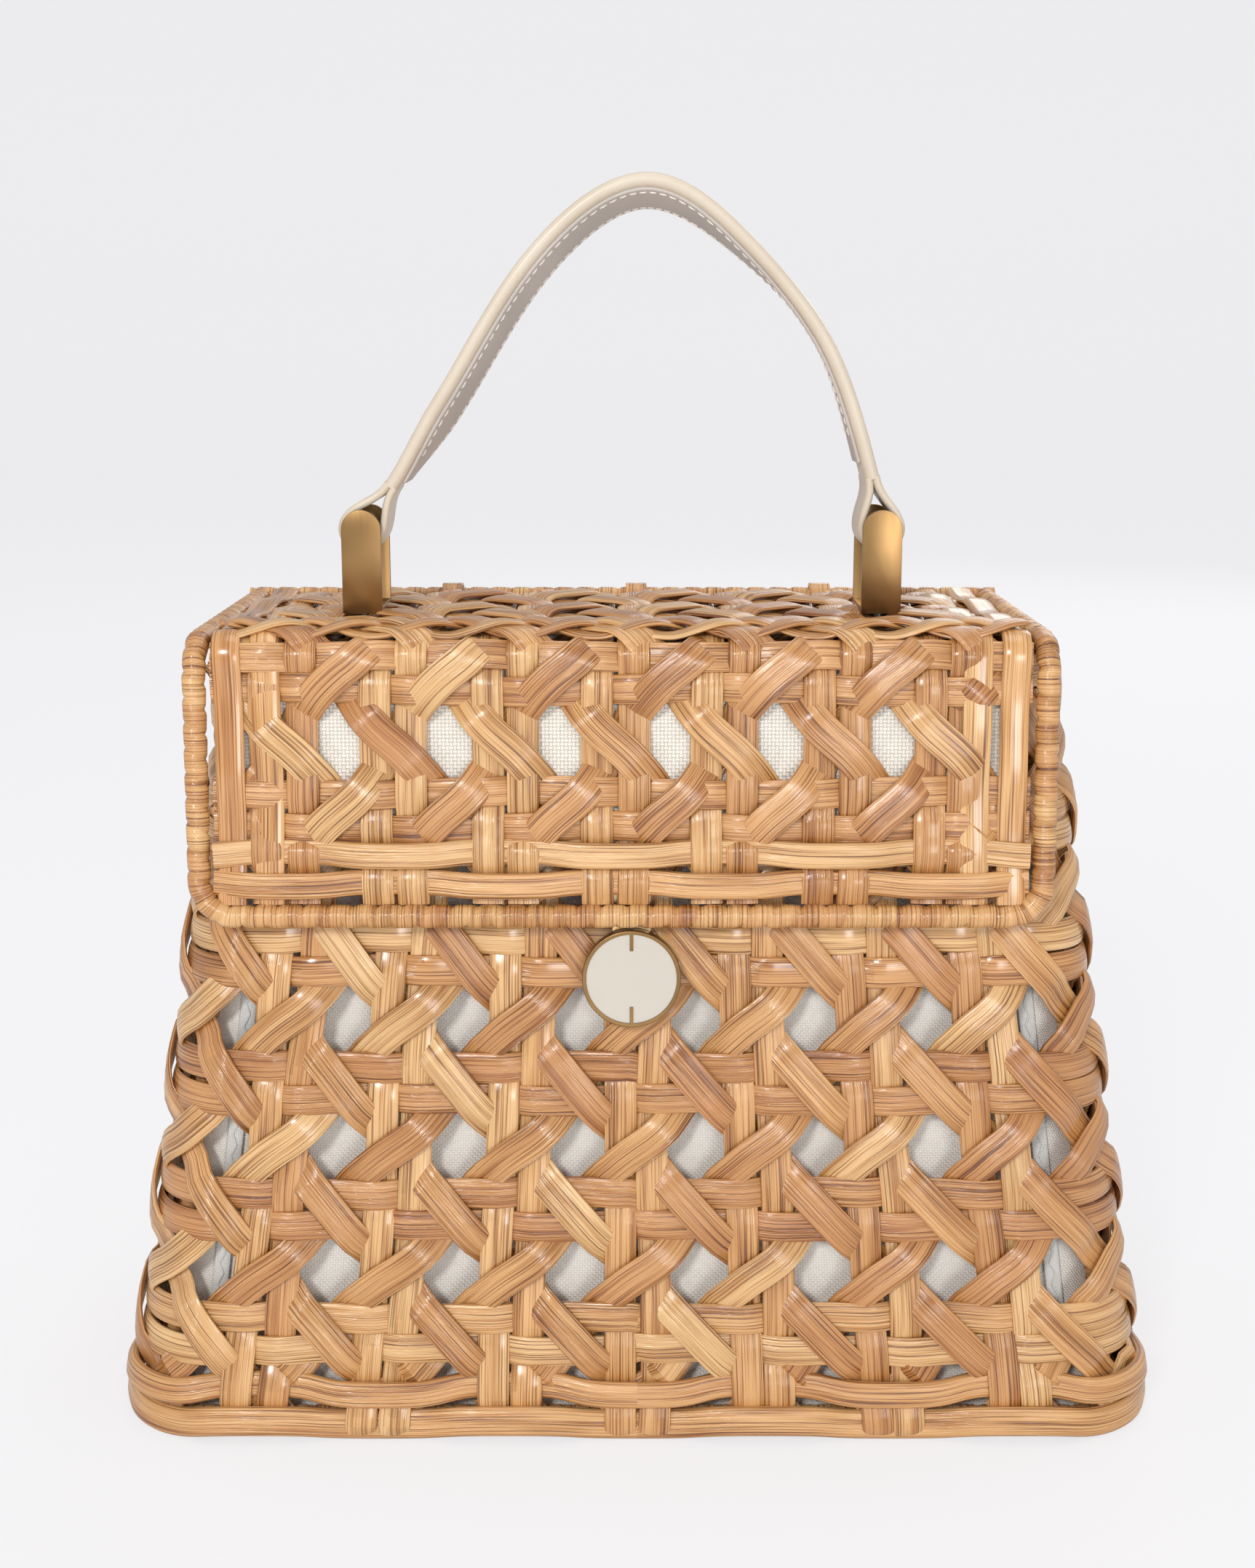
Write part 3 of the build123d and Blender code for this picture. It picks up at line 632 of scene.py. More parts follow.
def activate(piece: bpy.types.Object) -> None:
    """Makes a piece the only selected one and the active one.

    Args:
        piece: The piece.
    """
    deselect_all()
    piece.select_set(True)
    bpy.context.view_layer.objects.active = piece


def smooth(piece: bpy.types.Object, degrees: float) -> None:
    """Shades a piece smooth.

    Args:
        piece: The piece.
        degrees: Edges sharper than this stay sharp.
    """
    activate(piece)
    bpy.ops.object.shade_smooth_by_angle(angle=math.radians(degrees))


def new_piece(name: str, points: Sequence[Vector], faces: Sequence[Sequence[int]],
              maps: Maps) -> bpy.types.Object:
    """Makes a mesh object with a map.

    Args:
        name: Name of the piece.
        points: Its vertices.
        faces: Vertices of each face.
        maps: Places on the map of each face's corners.

    Returns:
        The piece, linked into the scene.
    """
    mesh = bpy.data.meshes.new(name)
    mesh.from_pydata(points, [], faces)
    layer = mesh.uv_layers.new(name="UVMap")
    layer.data.foreach_set("uv", [value for face in maps for pair in face for value in pair])
    piece = bpy.data.objects.new(name, mesh)
    bpy.context.scene.collection.objects.link(piece)
    return piece


def thicken(piece: bpy.types.Object, thickness: float, offset: float) -> None:
    """Gives a sheet its thickness.

    Args:
        piece: The sheet.
        thickness: Thickness of the cloth.
        offset: -1 to lay it all behind the sheet, 0 to lay half on each side.
    """
    activate(piece)
    modifier = piece.modifiers.new("cloth", "SOLIDIFY")
    modifier.thickness = thickness
    modifier.offset = offset
    bpy.ops.object.modifier_apply(modifier="cloth")


def finish_piece(piece: bpy.types.Object, body: str, material: bpy.types.Material,
                 stands_for: Sequence[str]) -> None:
    """Dresses a piece and ties it to the frame.

    Args:
        piece: The finished mesh object.
        body: CAD body that it moves with.
        material: Its finish.
        stands_for: CAD nodes that it replaces.
    """
    piece.data.materials.clear()
    piece.data.materials.append(material)
    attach(piece, body)
    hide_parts(*stands_for)
    LOG.info("%s: %d faces on %s", piece.name, len(piece.data.polygons), body)


def dress_node(node: str, material: bpy.types.Material) -> None:
    """Gives a CAD node its finish.

    Args:
        node: Name of the node.
        material: Its finish.
    """
    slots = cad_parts[node].data.materials
    slots.clear()
    slots.append(material)


def spaced(low: float, high: float, count: int) -> list[float]:
    """Evenly spaced values.

    Args:
        low: First value.
        high: Last value.
        count: Number of steps between them.

    Returns:
        One value more than there are steps.
    """
    return [low + (high - low) * index / count for index in range(count + 1)]


def squared(value: float, sharpness: float) -> float:
    """Flattens a wave's crests and steepens its slopes.

    Args:
        value: Value of the wave, about -1 to 1.
        sharpness: How flat the crests become.

    Returns:
        The value, -1 at -1 and 1 at 1.
    """
    return math.tanh(sharpness * value) / math.tanh(sharpness)


def bent_row(step: float, bend: float) -> float:
    """Row that a slanted strip has reached.

    Args:
        step: Columns from where the strip starts.
        bend: How much steeper it climbs at each column than between them.

    Returns:
        The row, whole or not.
    """
    return step + 0.5 + bend * math.sin(2 * math.pi * step) / (2 * math.pi)


def unbroken(stations: Iterable[Place | None], least: int) -> Iterator[list[Place]]:
    """Parts a route where stations are left out.

    Args:
        stations: Stations in order, None where the strip is left out.
        least: Fewest stations of a part that is kept.

    Yields:
        Each part.
    """
    part: list[Place] = []
    for station in chain(stations, [None]):
        if station is not None:
            part.append(station)
            continue
        if len(part) >= least:
            yield part
        part = []


def eased(keys: Keys, place: float) -> float:
    """Height of a wave that eases from key to key.

    Args:
        keys: Place and height of each key, by rising place.
        place: Where to read the wave.

    Returns:
        The height there.
    """
    if place <= keys[0][0]:
        return keys[0][1]
    for (start, low), (end, high) in zip(keys, keys[1:]):
        if place <= end:
            share = (place - start) / max(end - start, 1e-9)
            share = share * share * (3 - 2 * share)
            return low + (high - low) * share
    return keys[-1][1]


def crowned(width: float, thick: float) -> Section:
    """Section of a flat strip with a slightly domed face.

    Args:
        width: Width of the strip.
        thick: Thickness of the strip.

    Returns:
        Points of the section, across and out.
    """
    side, half = width / 2, thick / 2
    face = [(0.97, 0.1), (0.84, 0.52), (0.48, 0.86), (0.0, 1.0)]
    rising = [(x * side, y * half) for x, y in face]
    falling = [(-x, y) for x, y in reversed(rising[:-1])]
    foot = [(-0.86 * side, -half), (0.86 * side, -half), (side, -0.5 * half)]
    return [*foot, *rising, *falling, (-side, -0.5 * half)]


def rounded_band(width: float, thick: float) -> Section:
    """Section of a thick strip with round edges.

    Args:
        width: Width of the strip.
        thick: Thickness of the strip.

    Returns:
        Points of the section, across and out.
    """
    side, half = width / 2, thick / 2
    points = []
    for centre, start in ((side - half, -90), (-(side - half), 90)):
        for degrees in spaced(start, start + 180, 5):
            angle = math.radians(degrees)
            points.append((centre + half * math.cos(angle), half * math.sin(angle)))
    return points


def padded(width: float, thick: float) -> Section:
    """Section of a folded strap, fuller in the middle, with rolled edges.

    Args:
        width: Width of the strap.
        thick: Thickness of the strap.

    Returns:
        Points of the section, across and out.
    """
    side, half = width / 2, thick / 2
    right = [(0.4, -1.0), (0.82, -0.92), (0.94, -0.7), (1.0, -0.2), (1.0, 0.25), (0.94, 0.72),
             (0.82, 0.92), (0.4, 1.0)]
    left = [(-x, y) for x, y in reversed(right)]
    around = [left[-2], left[-1], *right, *left[:-2]]
    return [(x * side, y * half) for x, y in around]


class StripMesh:
    """Gathers swept strips into one mesh, each with a map and a tone of its own."""

    def __init__(self, name: str) -> None:
        """Starts an empty mesh."""
        self.name = name
        self.points: list[Vector] = []
        self.faces: list[tuple[int, ...]] = []
        self.maps: list[list[tuple[float, float]]] = []
        self.tones: list[float] = []

    def sweep(self, route: Sequence[Place], section: Section, tone: float,
              closed: bool = False) -> None:
        """Runs a section along a route.

        Args:
            route: Point and outward direction of each station.
            section: Points of the section, across and out.
            tone: Lightness of this strip, 0 to 1.
            closed: Whether the route ends where it starts.
        """
        self._run(route, lambda _along, _side: 1.0, section, tone, closed, False)

    def wrap(self, route: Sequence[Place], radius: float, tone: float,
             closed: bool = False) -> None:
        """Runs a rod wound with strip along a route.

        Args:
            route: Point and outward direction of each station.
            radius: Radius over the wrapping.
            tone: Lightness of the strip.
            closed: Whether the route ends where it starts.
        """
        ring = []
        for side in range(WRAP_SIDES):
            angle = 2 * math.pi * side / WRAP_SIDES
            ring.append((radius * math.cos(angle), radius * math.sin(angle)))

        def swell(along: float, side: float) -> float:
            turn = (along / WRAP_TURN - side) % 1.0
            crown = min(min(turn, 1 - turn) / WRAP_EDGE, 1.0)
            return 1 - WRAP_HOLLOW * (1 - math.sqrt(crown)) - WRAP_SLOPE * turn

        self._run(route, swell, ring, tone, closed, True)

    def _run(self, route: Sequence[Place], swell: Callable[[float, float], float],
             section: Section, tone: float, closed: bool, wound: bool) -> None:
        """Sweeps with a scale for each point of the section."""
        count, size = len(route), len(section)
        rim = [0.0]
        for start, end in zip(section, section[1:] + section[:1]):
            rim.append(rim[-1] + math.dist(start, end))
        first = len(self.points)
        along = 0.0
        runs = []
        for index, (point, normal) in enumerate(route):
            before = route[index - 1][0] if index or closed else point
            after = route[(index + 1) % count][0] if index < count - 1 or closed else point
            tangent = (after - before).normalized()
            out = (normal - tangent * normal.dot(tangent)).normalized()
            across = tangent.cross(out)
            if index:
                along += (point - route[index - 1][0]).length
            runs.append(along)
            for place, (x, y) in enumerate(section):
                grow = swell(along, place / size)
                self.points.append(point + across * (x * grow) + out * (y * grow))
                shade = tone
                if wound:
                    turn = math.floor(along / WRAP_TURN - place / size)
                    shade = tone + WRAP_TONES * math.sin(turn * 12.9) * math.cos(turn * 4.7)
                self.tones.append(min(max(shade, 0.0), 1.0))
        offset = tone * 7.31 + first * 0.0137
        steps = count if closed else count - 1
        for index in range(steps):
            start, end = first + index * size, first + ((index + 1) % count) * size
            reach = runs[index + 1] if index + 1 < count else runs[-1] + (runs[1] - runs[0])
            for place in range(size):
                after = (place + 1) % size
                self.faces.append((start + place, end + place, end + after, start + after))
                low, high = rim[place], rim[place + 1]
                if wound:
                    corners = [(low, runs[index]), (low, reach), (high, reach), (high, runs[index])]
                    corners = [(u + offset, v) for u, v in corners]
                else:
                    corners = [(runs[index], low), (reach, low), (reach, high), (runs[index], high)]
                    corners = [(u + offset, v + offset) for u, v in corners]
                self.maps.append(corners)
        if not closed:
            for ring, turned in ((0, False), (count - 1, True)):
                cap = [first + ring * size + place for place in range(size)]
                self.faces.append(tuple(cap[::-1] if turned else cap))
                self.maps.append([(offset, offset)] * size)

    def build(self, degrees: float = 38.0) -> bpy.types.Object:
        """Makes the object.

        Args:
            degrees: Edges sharper than this stay sharp.

        Returns:
            The mesh object, smooth shaded.
        """
        piece = new_piece(self.name, self.points, self.faces, self.maps)
        tone = piece.data.attributes.new("tone", "FLOAT", "POINT")
        tone.data.foreach_set("value", self.tones)
        piece.data.validate()
        smooth(piece, degrees)
        return piece


def spline(points: Sequence[tuple[float, float]], count: int) -> list[tuple[float, float]]:
    """Natural cubic spline through points in a plane.

    Args:
        points: Points to pass through.
        count: Number of points to give back.

    Returns:
        Evenly parted points along the spline.
    """
    knots = np.array(points)
    parts = np.linalg.norm(np.diff(knots, axis=0), axis=1)
    places = np.concatenate([[0.0], np.cumsum(parts)])
    size = len(knots)
    table = np.eye(size)
    right = np.zeros((size, 2))
    for row in range(1, size - 1):
        before, after = parts[row - 1], parts[row]
        table[row, row - 1: row + 2] = (before, 2 * (before + after), after)
        slopes = (knots[row + 1] - knots[row]) / after - (knots[row] - knots[row - 1]) / before
        right[row] = 6 * slopes
    bends = np.linalg.solve(table, right)
    result = []
    for place in np.linspace(0, places[-1], count):
        row = min(int(np.searchsorted(places, place, side="right")) - 1, size - 2)
        run = parts[row]
        b = (place - places[row]) / run
        a = 1 - b
        value = a * knots[row] + b * knots[row + 1]
        value += ((a ** 3 - a) * bends[row] + (b ** 3 - b) * bends[row + 1]) * run * run / 6
        result.append((float(value[0]), float(value[1])))
    return result


def rounded_route(corners: Sequence[Vector], radius: float, step: float) -> list[Vector]:
    """Route along straight legs with a round bend at each inner corner.

    Args:
        corners: Ends and corners of the route.
        radius: Radius of the bends.
        step: Distance between points.

    Returns:
        Points along the route.
    """
    points = [corners[0]]
    for before, here, after in zip(corners, corners[1:], corners[2:]):
        back, ahead = (before - here).normalized(), (after - here).normalized()
        half = back.angle(ahead) / 2
        reach = radius / math.tan(half)
        middle = here + (back + ahead).normalized() * (radius / math.sin(half))
        start, end = here + back * reach, here + ahead * reach
        points += even_steps(points[-1], start, step)
        bend = max(4, round((math.pi - 2 * half) * radius / step))
        first = start - middle
        turn = first.rotation_difference(end - middle)
        for index in range(1, bend + 1):
            spun = first.copy()
            spun.rotate(Quaternion().slerp(turn, index / bend))
            points.append(middle + spun)
    points += even_steps(points[-1], corners[-1], step)
    return points


def even_steps(start: Vector, end: Vector, step: float) -> list[Vector]:
    """Points from just after a start up to an end, about a step apart."""
    count = max(1, round((end - start).length / step))
    return [start.lerp(end, index / count) for index in range(1, count + 1)]


# The basket's wall as a surface


@dataclass(frozen=True)
class BasketForm:
    """Tapered box with round corners, and the places of its strips."""

    foot_width: float = 0.274
    foot_depth: float = 0.116
    rim_width: float = 0.210
    rim_depth: float = 0.090
    height: float = 0.206
    foot_corner: float = 0.024
    rim_corner: float = 0.016
    front_pitch: float = 0.0338
    side_pitch: float = 0.036
    first_row: float = 0.029
    row_pitch: float = 0.0336
    rows: int = 6
    columns: int = 22
    corner_columns: tuple[int, ...] = (4, 7, 15, 18)

    def between(self, foot: float, rim: float, z: float) -> float:
        """Value at a height of a size that changes evenly."""
        return foot + (rim - foot) * z / self.height

    def half_sizes(self, z: float) -> tuple[float, float, float]:
        """Half width, half depth and corner radius at a height."""
        return (
            self.between(self.foot_width, self.rim_width, z) / 2,
            self.between(self.foot_depth, self.rim_depth, z) / 2,
            self.between(self.foot_corner, self.rim_corner, z),
        )

    def row_height(self, row: float) -> float:
        """Height of a row, counted from the lowest at 0."""
        return self.first_row + self.row_pitch * row

    def anchors(self, z: float) -> list[float]:
        """Distance round the outline of each column, from the front's middle."""
        a, b, r = self.half_sizes(z)
        run, side, bend = a - r, b - r, r * math.pi / 2
        share = a / (self.foot_width / 2)
        front = self.front_pitch * share
        flank = self.side_pitch * b / (self.foot_depth / 2)
        quarter = [front * step for step in range(4)]
        quarter.append(run + bend / 2)
        quarter += [run + bend + side - flank / 2, run + bend + side + flank / 2]
        quarter.append(run + bend + 2 * side + bend / 2)
        half = 2 * (run + side + bend)
        quarter += [half - front * step for step in (3, 2, 1)]
        return quarter + [half + place for place in quarter] + [2 * half]

    def on_outline(self, run: float, z: float) -> tuple[float, float, float, float]:
        """Point of the outline and its outward direction.

        Args:
            run: Distance round the outline from the front's middle, to the right.
            z: Height.

        Returns:
            X and Y of the point, and X and Y of the direction.
        """
        a, b, r = self.half_sizes(z)
        straight, side, bend = a - r, b - r, r * math.pi / 2
        run %= 4 * (straight + side) + 4 * bend
        legs = (
            (straight, (0.0, -b), (1, 0), None),
            (bend, (straight, -side), None, -90),
            (2 * side, (a, -side), (0, 1), None),
            (bend, (straight, side), None, 0),
            (2 * straight, (straight, b), (-1, 0), None),
            (bend, (-straight, side), None, 90),
            (2 * side, (-a, side), (0, -1), None),
            (bend, (-straight, -side), None, 180),
            (straight + 1e-6, (-straight, -b), (1, 0), None),
        )
        for length, start, way, angle in legs:
            if run <= length:
                break
            run -= length
        if way is not None:
            return (start[0] + way[0] * run, start[1] + way[1] * run, way[1], -way[0])
        turn = math.radians(angle) + run / r
        out = (math.cos(turn), math.sin(turn))
        return (start[0] + r * out[0], start[1] + r * out[1], out[0], out[1])

    def run_of(self, column: float, z: float) -> float:
        """Distance round the outline of a column, whole or not."""
        anchors = self.anchors(z)
        column %= self.columns
        low = int(column)
        return anchors[low] + (anchors[low + 1] - anchors[low]) * (column - low)

    def ring(self, z: float, lift: float, steps: int) -> list[Place]:
        """Stations round the wall at a height.

        Args:
            z: Height.
            lift: Distance out of the wall.
            steps: Stations for each column.

        Returns:
            The stations, from the front's middle to the right.
        """
        return [self.place(index / steps, z, 0.0, lift) for index in range(self.columns * steps)]

    def place(self, column: float, z: float, shift: float = 0.0, lift: float = 0.0) -> Place:
        """Point on the wall.

        Args:
            column: Column, from the front's middle to the right.
            z: Height.
            shift: Distance to the side of the column.
            lift: Distance out of the wall.

        Returns:
            The point and the wall's outward direction.
        """
        x, y, out_x, out_y = self.on_outline(self.run_of(column, z) + shift, z)
        rise_x = (self.foot_width - self.rim_width) / 2 / self.height
        rise_y = (self.foot_depth - self.rim_depth) / 2 / self.height
        rise = abs(out_x) * rise_x + abs(out_y) * rise_y
        normal = Vector((out_x, out_y, rise)).normalized()
        return Vector((x, y, z)) + normal * lift, normal


@dataclass
class BasketWeave:
    """The cane strips of the basket: uprights, rows, slants, foot and rim."""

    form: BasketForm
    finishes: FinishBook
    strip: float = 0.0083
    row_strip: float = 0.0080
    slant_strip: float = 0.0088
    thick: float = 0.0015
    spacing: float = 0.0087
    sink: float = -0.0006
    wave: float = 0.00115
    slant_wave: float = 0.0022
    corner_wave: float = 0.0010
    strand_width: float = 0.0080
    strand_thick: float = 0.0032
    strand_levels: tuple[float, float] = (0.0051, 0.0142)
    behind_strand: float = -0.0008
    before_strand: float = 0.0017
    sway: float = 0.0008
    drift: float = 0.0012
    fold: tuple[tuple[float, float], ...] = (
        (0.0007, 0.014), (0.0007, 0.008), (0.0008, 0.003), (0.0012, 0.0008),
    )
    slant_ends: tuple[float, float] = (-1.22, 4.72)
    slant_top: float = 0.0035
    strand_top: float = 0.0175
    mat_lane: float = 0.0096
    mat_strip: float = 0.0086
    mat_thick: float = 0.0009
    mat_level: float = 0.0021
    mat_inset: float = 0.006
    catch_place: tuple[float, float] = (-0.0015, 0.1253)
    catch_hole: float = 0.0082
    rng: random.Random = field(default_factory=lambda: random.Random(SEED))

    def build(self) -> None:
        """Makes every woven piece of the basket."""
        pieces = [self.uprights(), self.rows(), self.slants(Slant.RISING),
                  self.slants(Slant.FALLING), self.base_mat(), self.rim_binding()]
        for piece in pieces:
            finish_piece(piece, "basket", self.finishes.cane, ["basket_weave"])
        for level, name in enumerate(("lower", "upper")):
            strand = self.foot_strand(level, name)
            finish_piece(strand, "basket", self.finishes.cane, [f"foot_strand_{name}"])

    def _clear(self, point: Vector) -> bool:
        """Whether a point keeps out of the hole that the clasp's catch turns in."""
        return point.y > 0 or math.dist((point.x, point.z), self.catch_place) >= self.catch_hole

    def _lay(self, mesh: StripMesh, route: list[Place], section: Section, tone: float,
             closed: bool = False) -> None:
        """Sweeps a strip, which ends under the strike plate where it meets the catch's hole.

        Args:
            mesh: Mesh that takes the strip.
            route: Stations of the strip.
            section: Points of the section, across and out.
            tone: Lightness of the strip.
            closed: Whether the route ends where it starts.
        """
        kept = [place if self._clear(place[0]) else None for place in route]
        if None not in kept:
            mesh.sweep(route, section, tone, closed)
            return
        if closed:
            first = kept.index(None)
            kept = kept[first:] + kept[:first]
        for part in unbroken(kept, 3):
            mesh.sweep(part, section, tone)

    def upright_lift(self, column: int, hand: Hand, z: float) -> float:
        """How far an upright stands out at a height."""
        low, high = self.before_strand, self.behind_strand
        if column % 2:
            low, high = high, low
        keys = [(0.0, self.sink), (self.strand_levels[0], low), (self.strand_levels[1], high)]
        for row in range(self.form.rows):
            middle = self.form.row_height(row)
            sign = hand.value
            keys.append((middle - self.spacing / 2, self.sink - sign * self.wave))
            keys.append((middle + self.spacing / 2, self.sink + sign * self.wave))
            keys.append((middle + self.form.row_pitch / 2, self.sink))
        return eased(keys, z)

    def uprights(self) -> bpy.types.Object:
        """Pairs of upright strips, folded in under the base."""
        mesh = StripMesh("upright_strips")
        section = crowned(self.strip, self.thick)
        for column in range(self.form.columns):
            if column in self.form.corner_columns:
                continue
            for hand in Hand:
                self._lay(mesh, self._upright_route(column, hand), section, self.rng.random())
        return mesh.build()

    def _upright_route(self, column: int, hand: Hand) -> list[Place]:
        """Stations of one upright, from under the base to the rim."""
        shift = hand.value * self.spacing / 2
        sway = self.rng.uniform(-self.sway, self.sway)
        low, high = 0.0022, self.form.height - 0.0015
        point, normal = self.form.place(column, low, shift, self.upright_lift(column, hand, low))
        inward = Vector((-normal.x, -normal.y, 0)).normalized()
        under = Vector((0, 0, -1))
        route = []
        for z, reach in self.fold:
            route.append((Vector((point.x, point.y, z)) + inward * reach, under))
        route[-1] = (route[-1][0], (under + normal).normalized())
        for z in spaced(low, high, 84):
            lift = self.upright_lift(column, hand, z)
            drift = sway * math.sin(z * 60 + column)
            route.append(self.form.place(column, z, shift + drift, lift))
        return route

    def rows(self) -> bpy.types.Object:
        """Pairs of strips that run round the basket."""
        mesh = StripMesh("row_strips")
        section = crowned(self.row_strip, self.thick)
        for row in range(self.form.rows):
            for hand in Hand:
                z = self.form.row_height(row) + hand.value * self.spacing / 2
                self._lay(mesh, self._row_route(z, hand), section, self.rng.random(), closed=True)
        return mesh.build()

    def _row_route(self, z: float, hand: Hand) -> list[Place]:
        """Stations of one row strip. The upper one goes over each left upright."""
        steps = 14
        parting = self.spacing / 2 / self.form.front_pitch * 1.15
        wobble, sway = self.rng.uniform(0, 6), self.rng.uniform(0.0003, 0.0007)
        route = []
        for index in range(self.form.columns * steps):
            column = index / steps
            whole = round(column)
            lift = self.sink
            if whole % self.form.columns not in self.form.corner_columns:
                rise = hand.value * self.wave
                keys = [
                    (whole - 0.5, self.sink), (whole - parting, self.sink + rise),
                    (whole + parting, self.sink - rise), (whole + 0.5, self.sink),
                ]
                lift = eased(keys, column)
            drift = sway * math.sin(column * 1.9 + wobble)
            route.append(self.form.place(column, z + drift, 0.0, lift))
        return route

    def slants(self, way: Slant) -> bpy.types.Object:
        """Slanted strips: rising ones go over the uprights, falling ones over the rows."""
        mesh = StripMesh(f"{way.name.lower()}_slants")
        section = crowned(self.slant_strip, self.thick)
        for start in range(self.form.columns):
            self._lay(mesh, self._slant_route(start, way), section, self.rng.random())
        return mesh.build()

    def _slant_route(self, start: int, way: Slant) -> list[Place]:
        """Stations of one slanted strip, from behind the foot to the rim."""
        bend = -0.36 if way is Slant.RISING else -0.10
        drift = self.rng.uniform(-self.drift, self.drift)
        route = []
        for step in spaced(*self.slant_ends, 92):
            z = self.form.row_height(bent_row(step, bend))
            if not 0.003 < z < self.form.height - self.slant_top:
                continue
            column = start + way.value * step
            wave = squared(math.cos(2 * math.pi * step) + way.value * 0.22, 2.5)
            near = min(abs(self._parting(column, corner)) for corner in self.form.corner_columns)
            share = min(near / 0.45, 1.0)
            height = self.corner_wave + (self.slant_wave - self.corner_wave) * share
            lift = self.sink + way.value * wave * height
            if z < self.strand_top:
                lift = min(lift, self.sink - 0.0006)
            route.append(self.form.place(column, z, drift, lift))
        return route

    def _parting(self, column: float, corner: int) -> float:
        """Columns from a corner, the short way round."""
        half = self.form.columns / 2
        return (column - corner + half) % self.form.columns - half

    def foot_strand(self, level: int, name: str) -> bpy.types.Object:
        """One of the two thick strands round the foot.

        Args:
            level: 0 for the lower strand, 1 for the upper.
            name: Word for the piece's name.

        Returns:
            The strand, which goes over every other pair of uprights.
        """
        mesh = StripMesh(f"foot_band_{name}")
        section = rounded_band(self.strand_width - 0.0009 * level, self.strand_thick)
        steps = 14
        sign = 1 if level else -1
        route = []
        for index in range(self.form.columns * steps):
            column = index / steps
            wave = squared(math.cos(math.pi * column), 1.7)
            z = self.strand_levels[level] - 0.0010 * wave
            route.append(self.form.place(column, z, 0.0, 0.0005 + sign * wave * 0.0014))
        mesh.sweep(route, section, 0.45 + 0.2 * level, closed=True)
        return mesh.build()

    def rim_binding(self) -> bpy.types.Object:
        """Strip bound over the strip ends at the rim, outside and inside."""
        mesh = StripMesh("rim_binding")
        section = crowned(0.0042, 0.0011)
        z = self.form.height - 0.0023
        for lift in (0.0006, -0.0019):
            route = self.form.ring(z, lift, 8)
            if lift < 0:
                route = [(point, -normal) for point, normal in route]
            mesh.sweep(route, section, 0.5, closed=True)
        binder = crowned(0.0036, 0.0007)
        up = Vector((0, 0, 1))
        for index in range(self.form.columns * 2):
            point, normal = self.form.place((index + 0.5) / 2, z, 0.0, -0.0006)
            route = []
            for degrees in spaced(-60, 240, 12):
                turn = math.radians(degrees)
                out, rise = normal * math.cos(turn), up * math.sin(turn)
                route.append((point + out * 0.0025 + rise * 0.0026, out + rise))
            mesh.sweep(route, binder, self.rng.random())
        return mesh.build()

    def base_mat(self) -> bpy.types.Object:
        """Plain woven mat that closes the foot."""
        mesh = StripMesh("base_mat")
        width = self.form.foot_width / 2 - self.mat_inset
        depth = self.form.foot_depth / 2 - self.mat_inset
        section = crowned(self.mat_strip, self.mat_thick)
        up = Vector((0, 0, 1))
        for along_x, long, wide in ((True, width, depth), (False, depth, width)):
            lanes = int(2 * wide / self.mat_lane)
            for lane in range(lanes):
                offset = (lane - (lanes - 1) / 2) * self.mat_lane
                reach = long - max(0.0, abs(offset) - wide + 0.018) * 0.8
                route = []
                for along in spaced(-reach, reach, 60):
                    wave = math.cos(math.pi * (along / self.mat_lane + lane))
                    lift = 0.0005 * wave * (1 if along_x else -1)
                    x, y = (along, offset) if along_x else (offset, along)
                    route.append((Vector((x, y, self.mat_level + lift)), up))
                mesh.sweep(route, section, self.rng.random())
        return mesh.build()


@dataclass
class BasketFrame:
    """Wrapped rods inside the basket."""

    form: BasketForm
    finishes: FinishBook
    radius: float = 0.0022
    inset: float = -0.0051
    rim_height: float = 0.200
    base_height: float = 0.0053
    gap: float = 0.0003

    def build(self) -> None:
        """Makes the rim hoop, the base hoop and the four corner posts."""
        for z, name in ((self.rim_height, "rim_hoop"), (self.base_height, "base_hoop")):
            mesh = StripMesh(f"wrapped_{name}")
            mesh.wrap(self.form.ring(z, self.inset, 22), self.radius, 0.4, closed=True)
            finish_piece(mesh.build(ROD_SMOOTH), "basket", self.finishes.wrap, [name])
        places = {4: "front_right", 7: "back_right", 15: "back_left", 18: "front_left"}
        for column, place in places.items():
            mesh = StripMesh(f"wrapped_post_{place}")
            low = self.base_height + self.radius + self.gap
            high = self.rim_height - self.radius - self.gap
            ends = [self.form.place(column, z, 0.0, self.inset) for z in (low, high)]
            points = [ends[0][0], *even_steps(ends[0][0], ends[1][0], 0.0007)]
            mesh.wrap([(point, ends[0][1]) for point in points], self.radius, 0.5)
            node = f"corner_post_{place}"
            finish_piece(mesh.build(ROD_SMOOTH), "basket", self.finishes.wrap, [node])


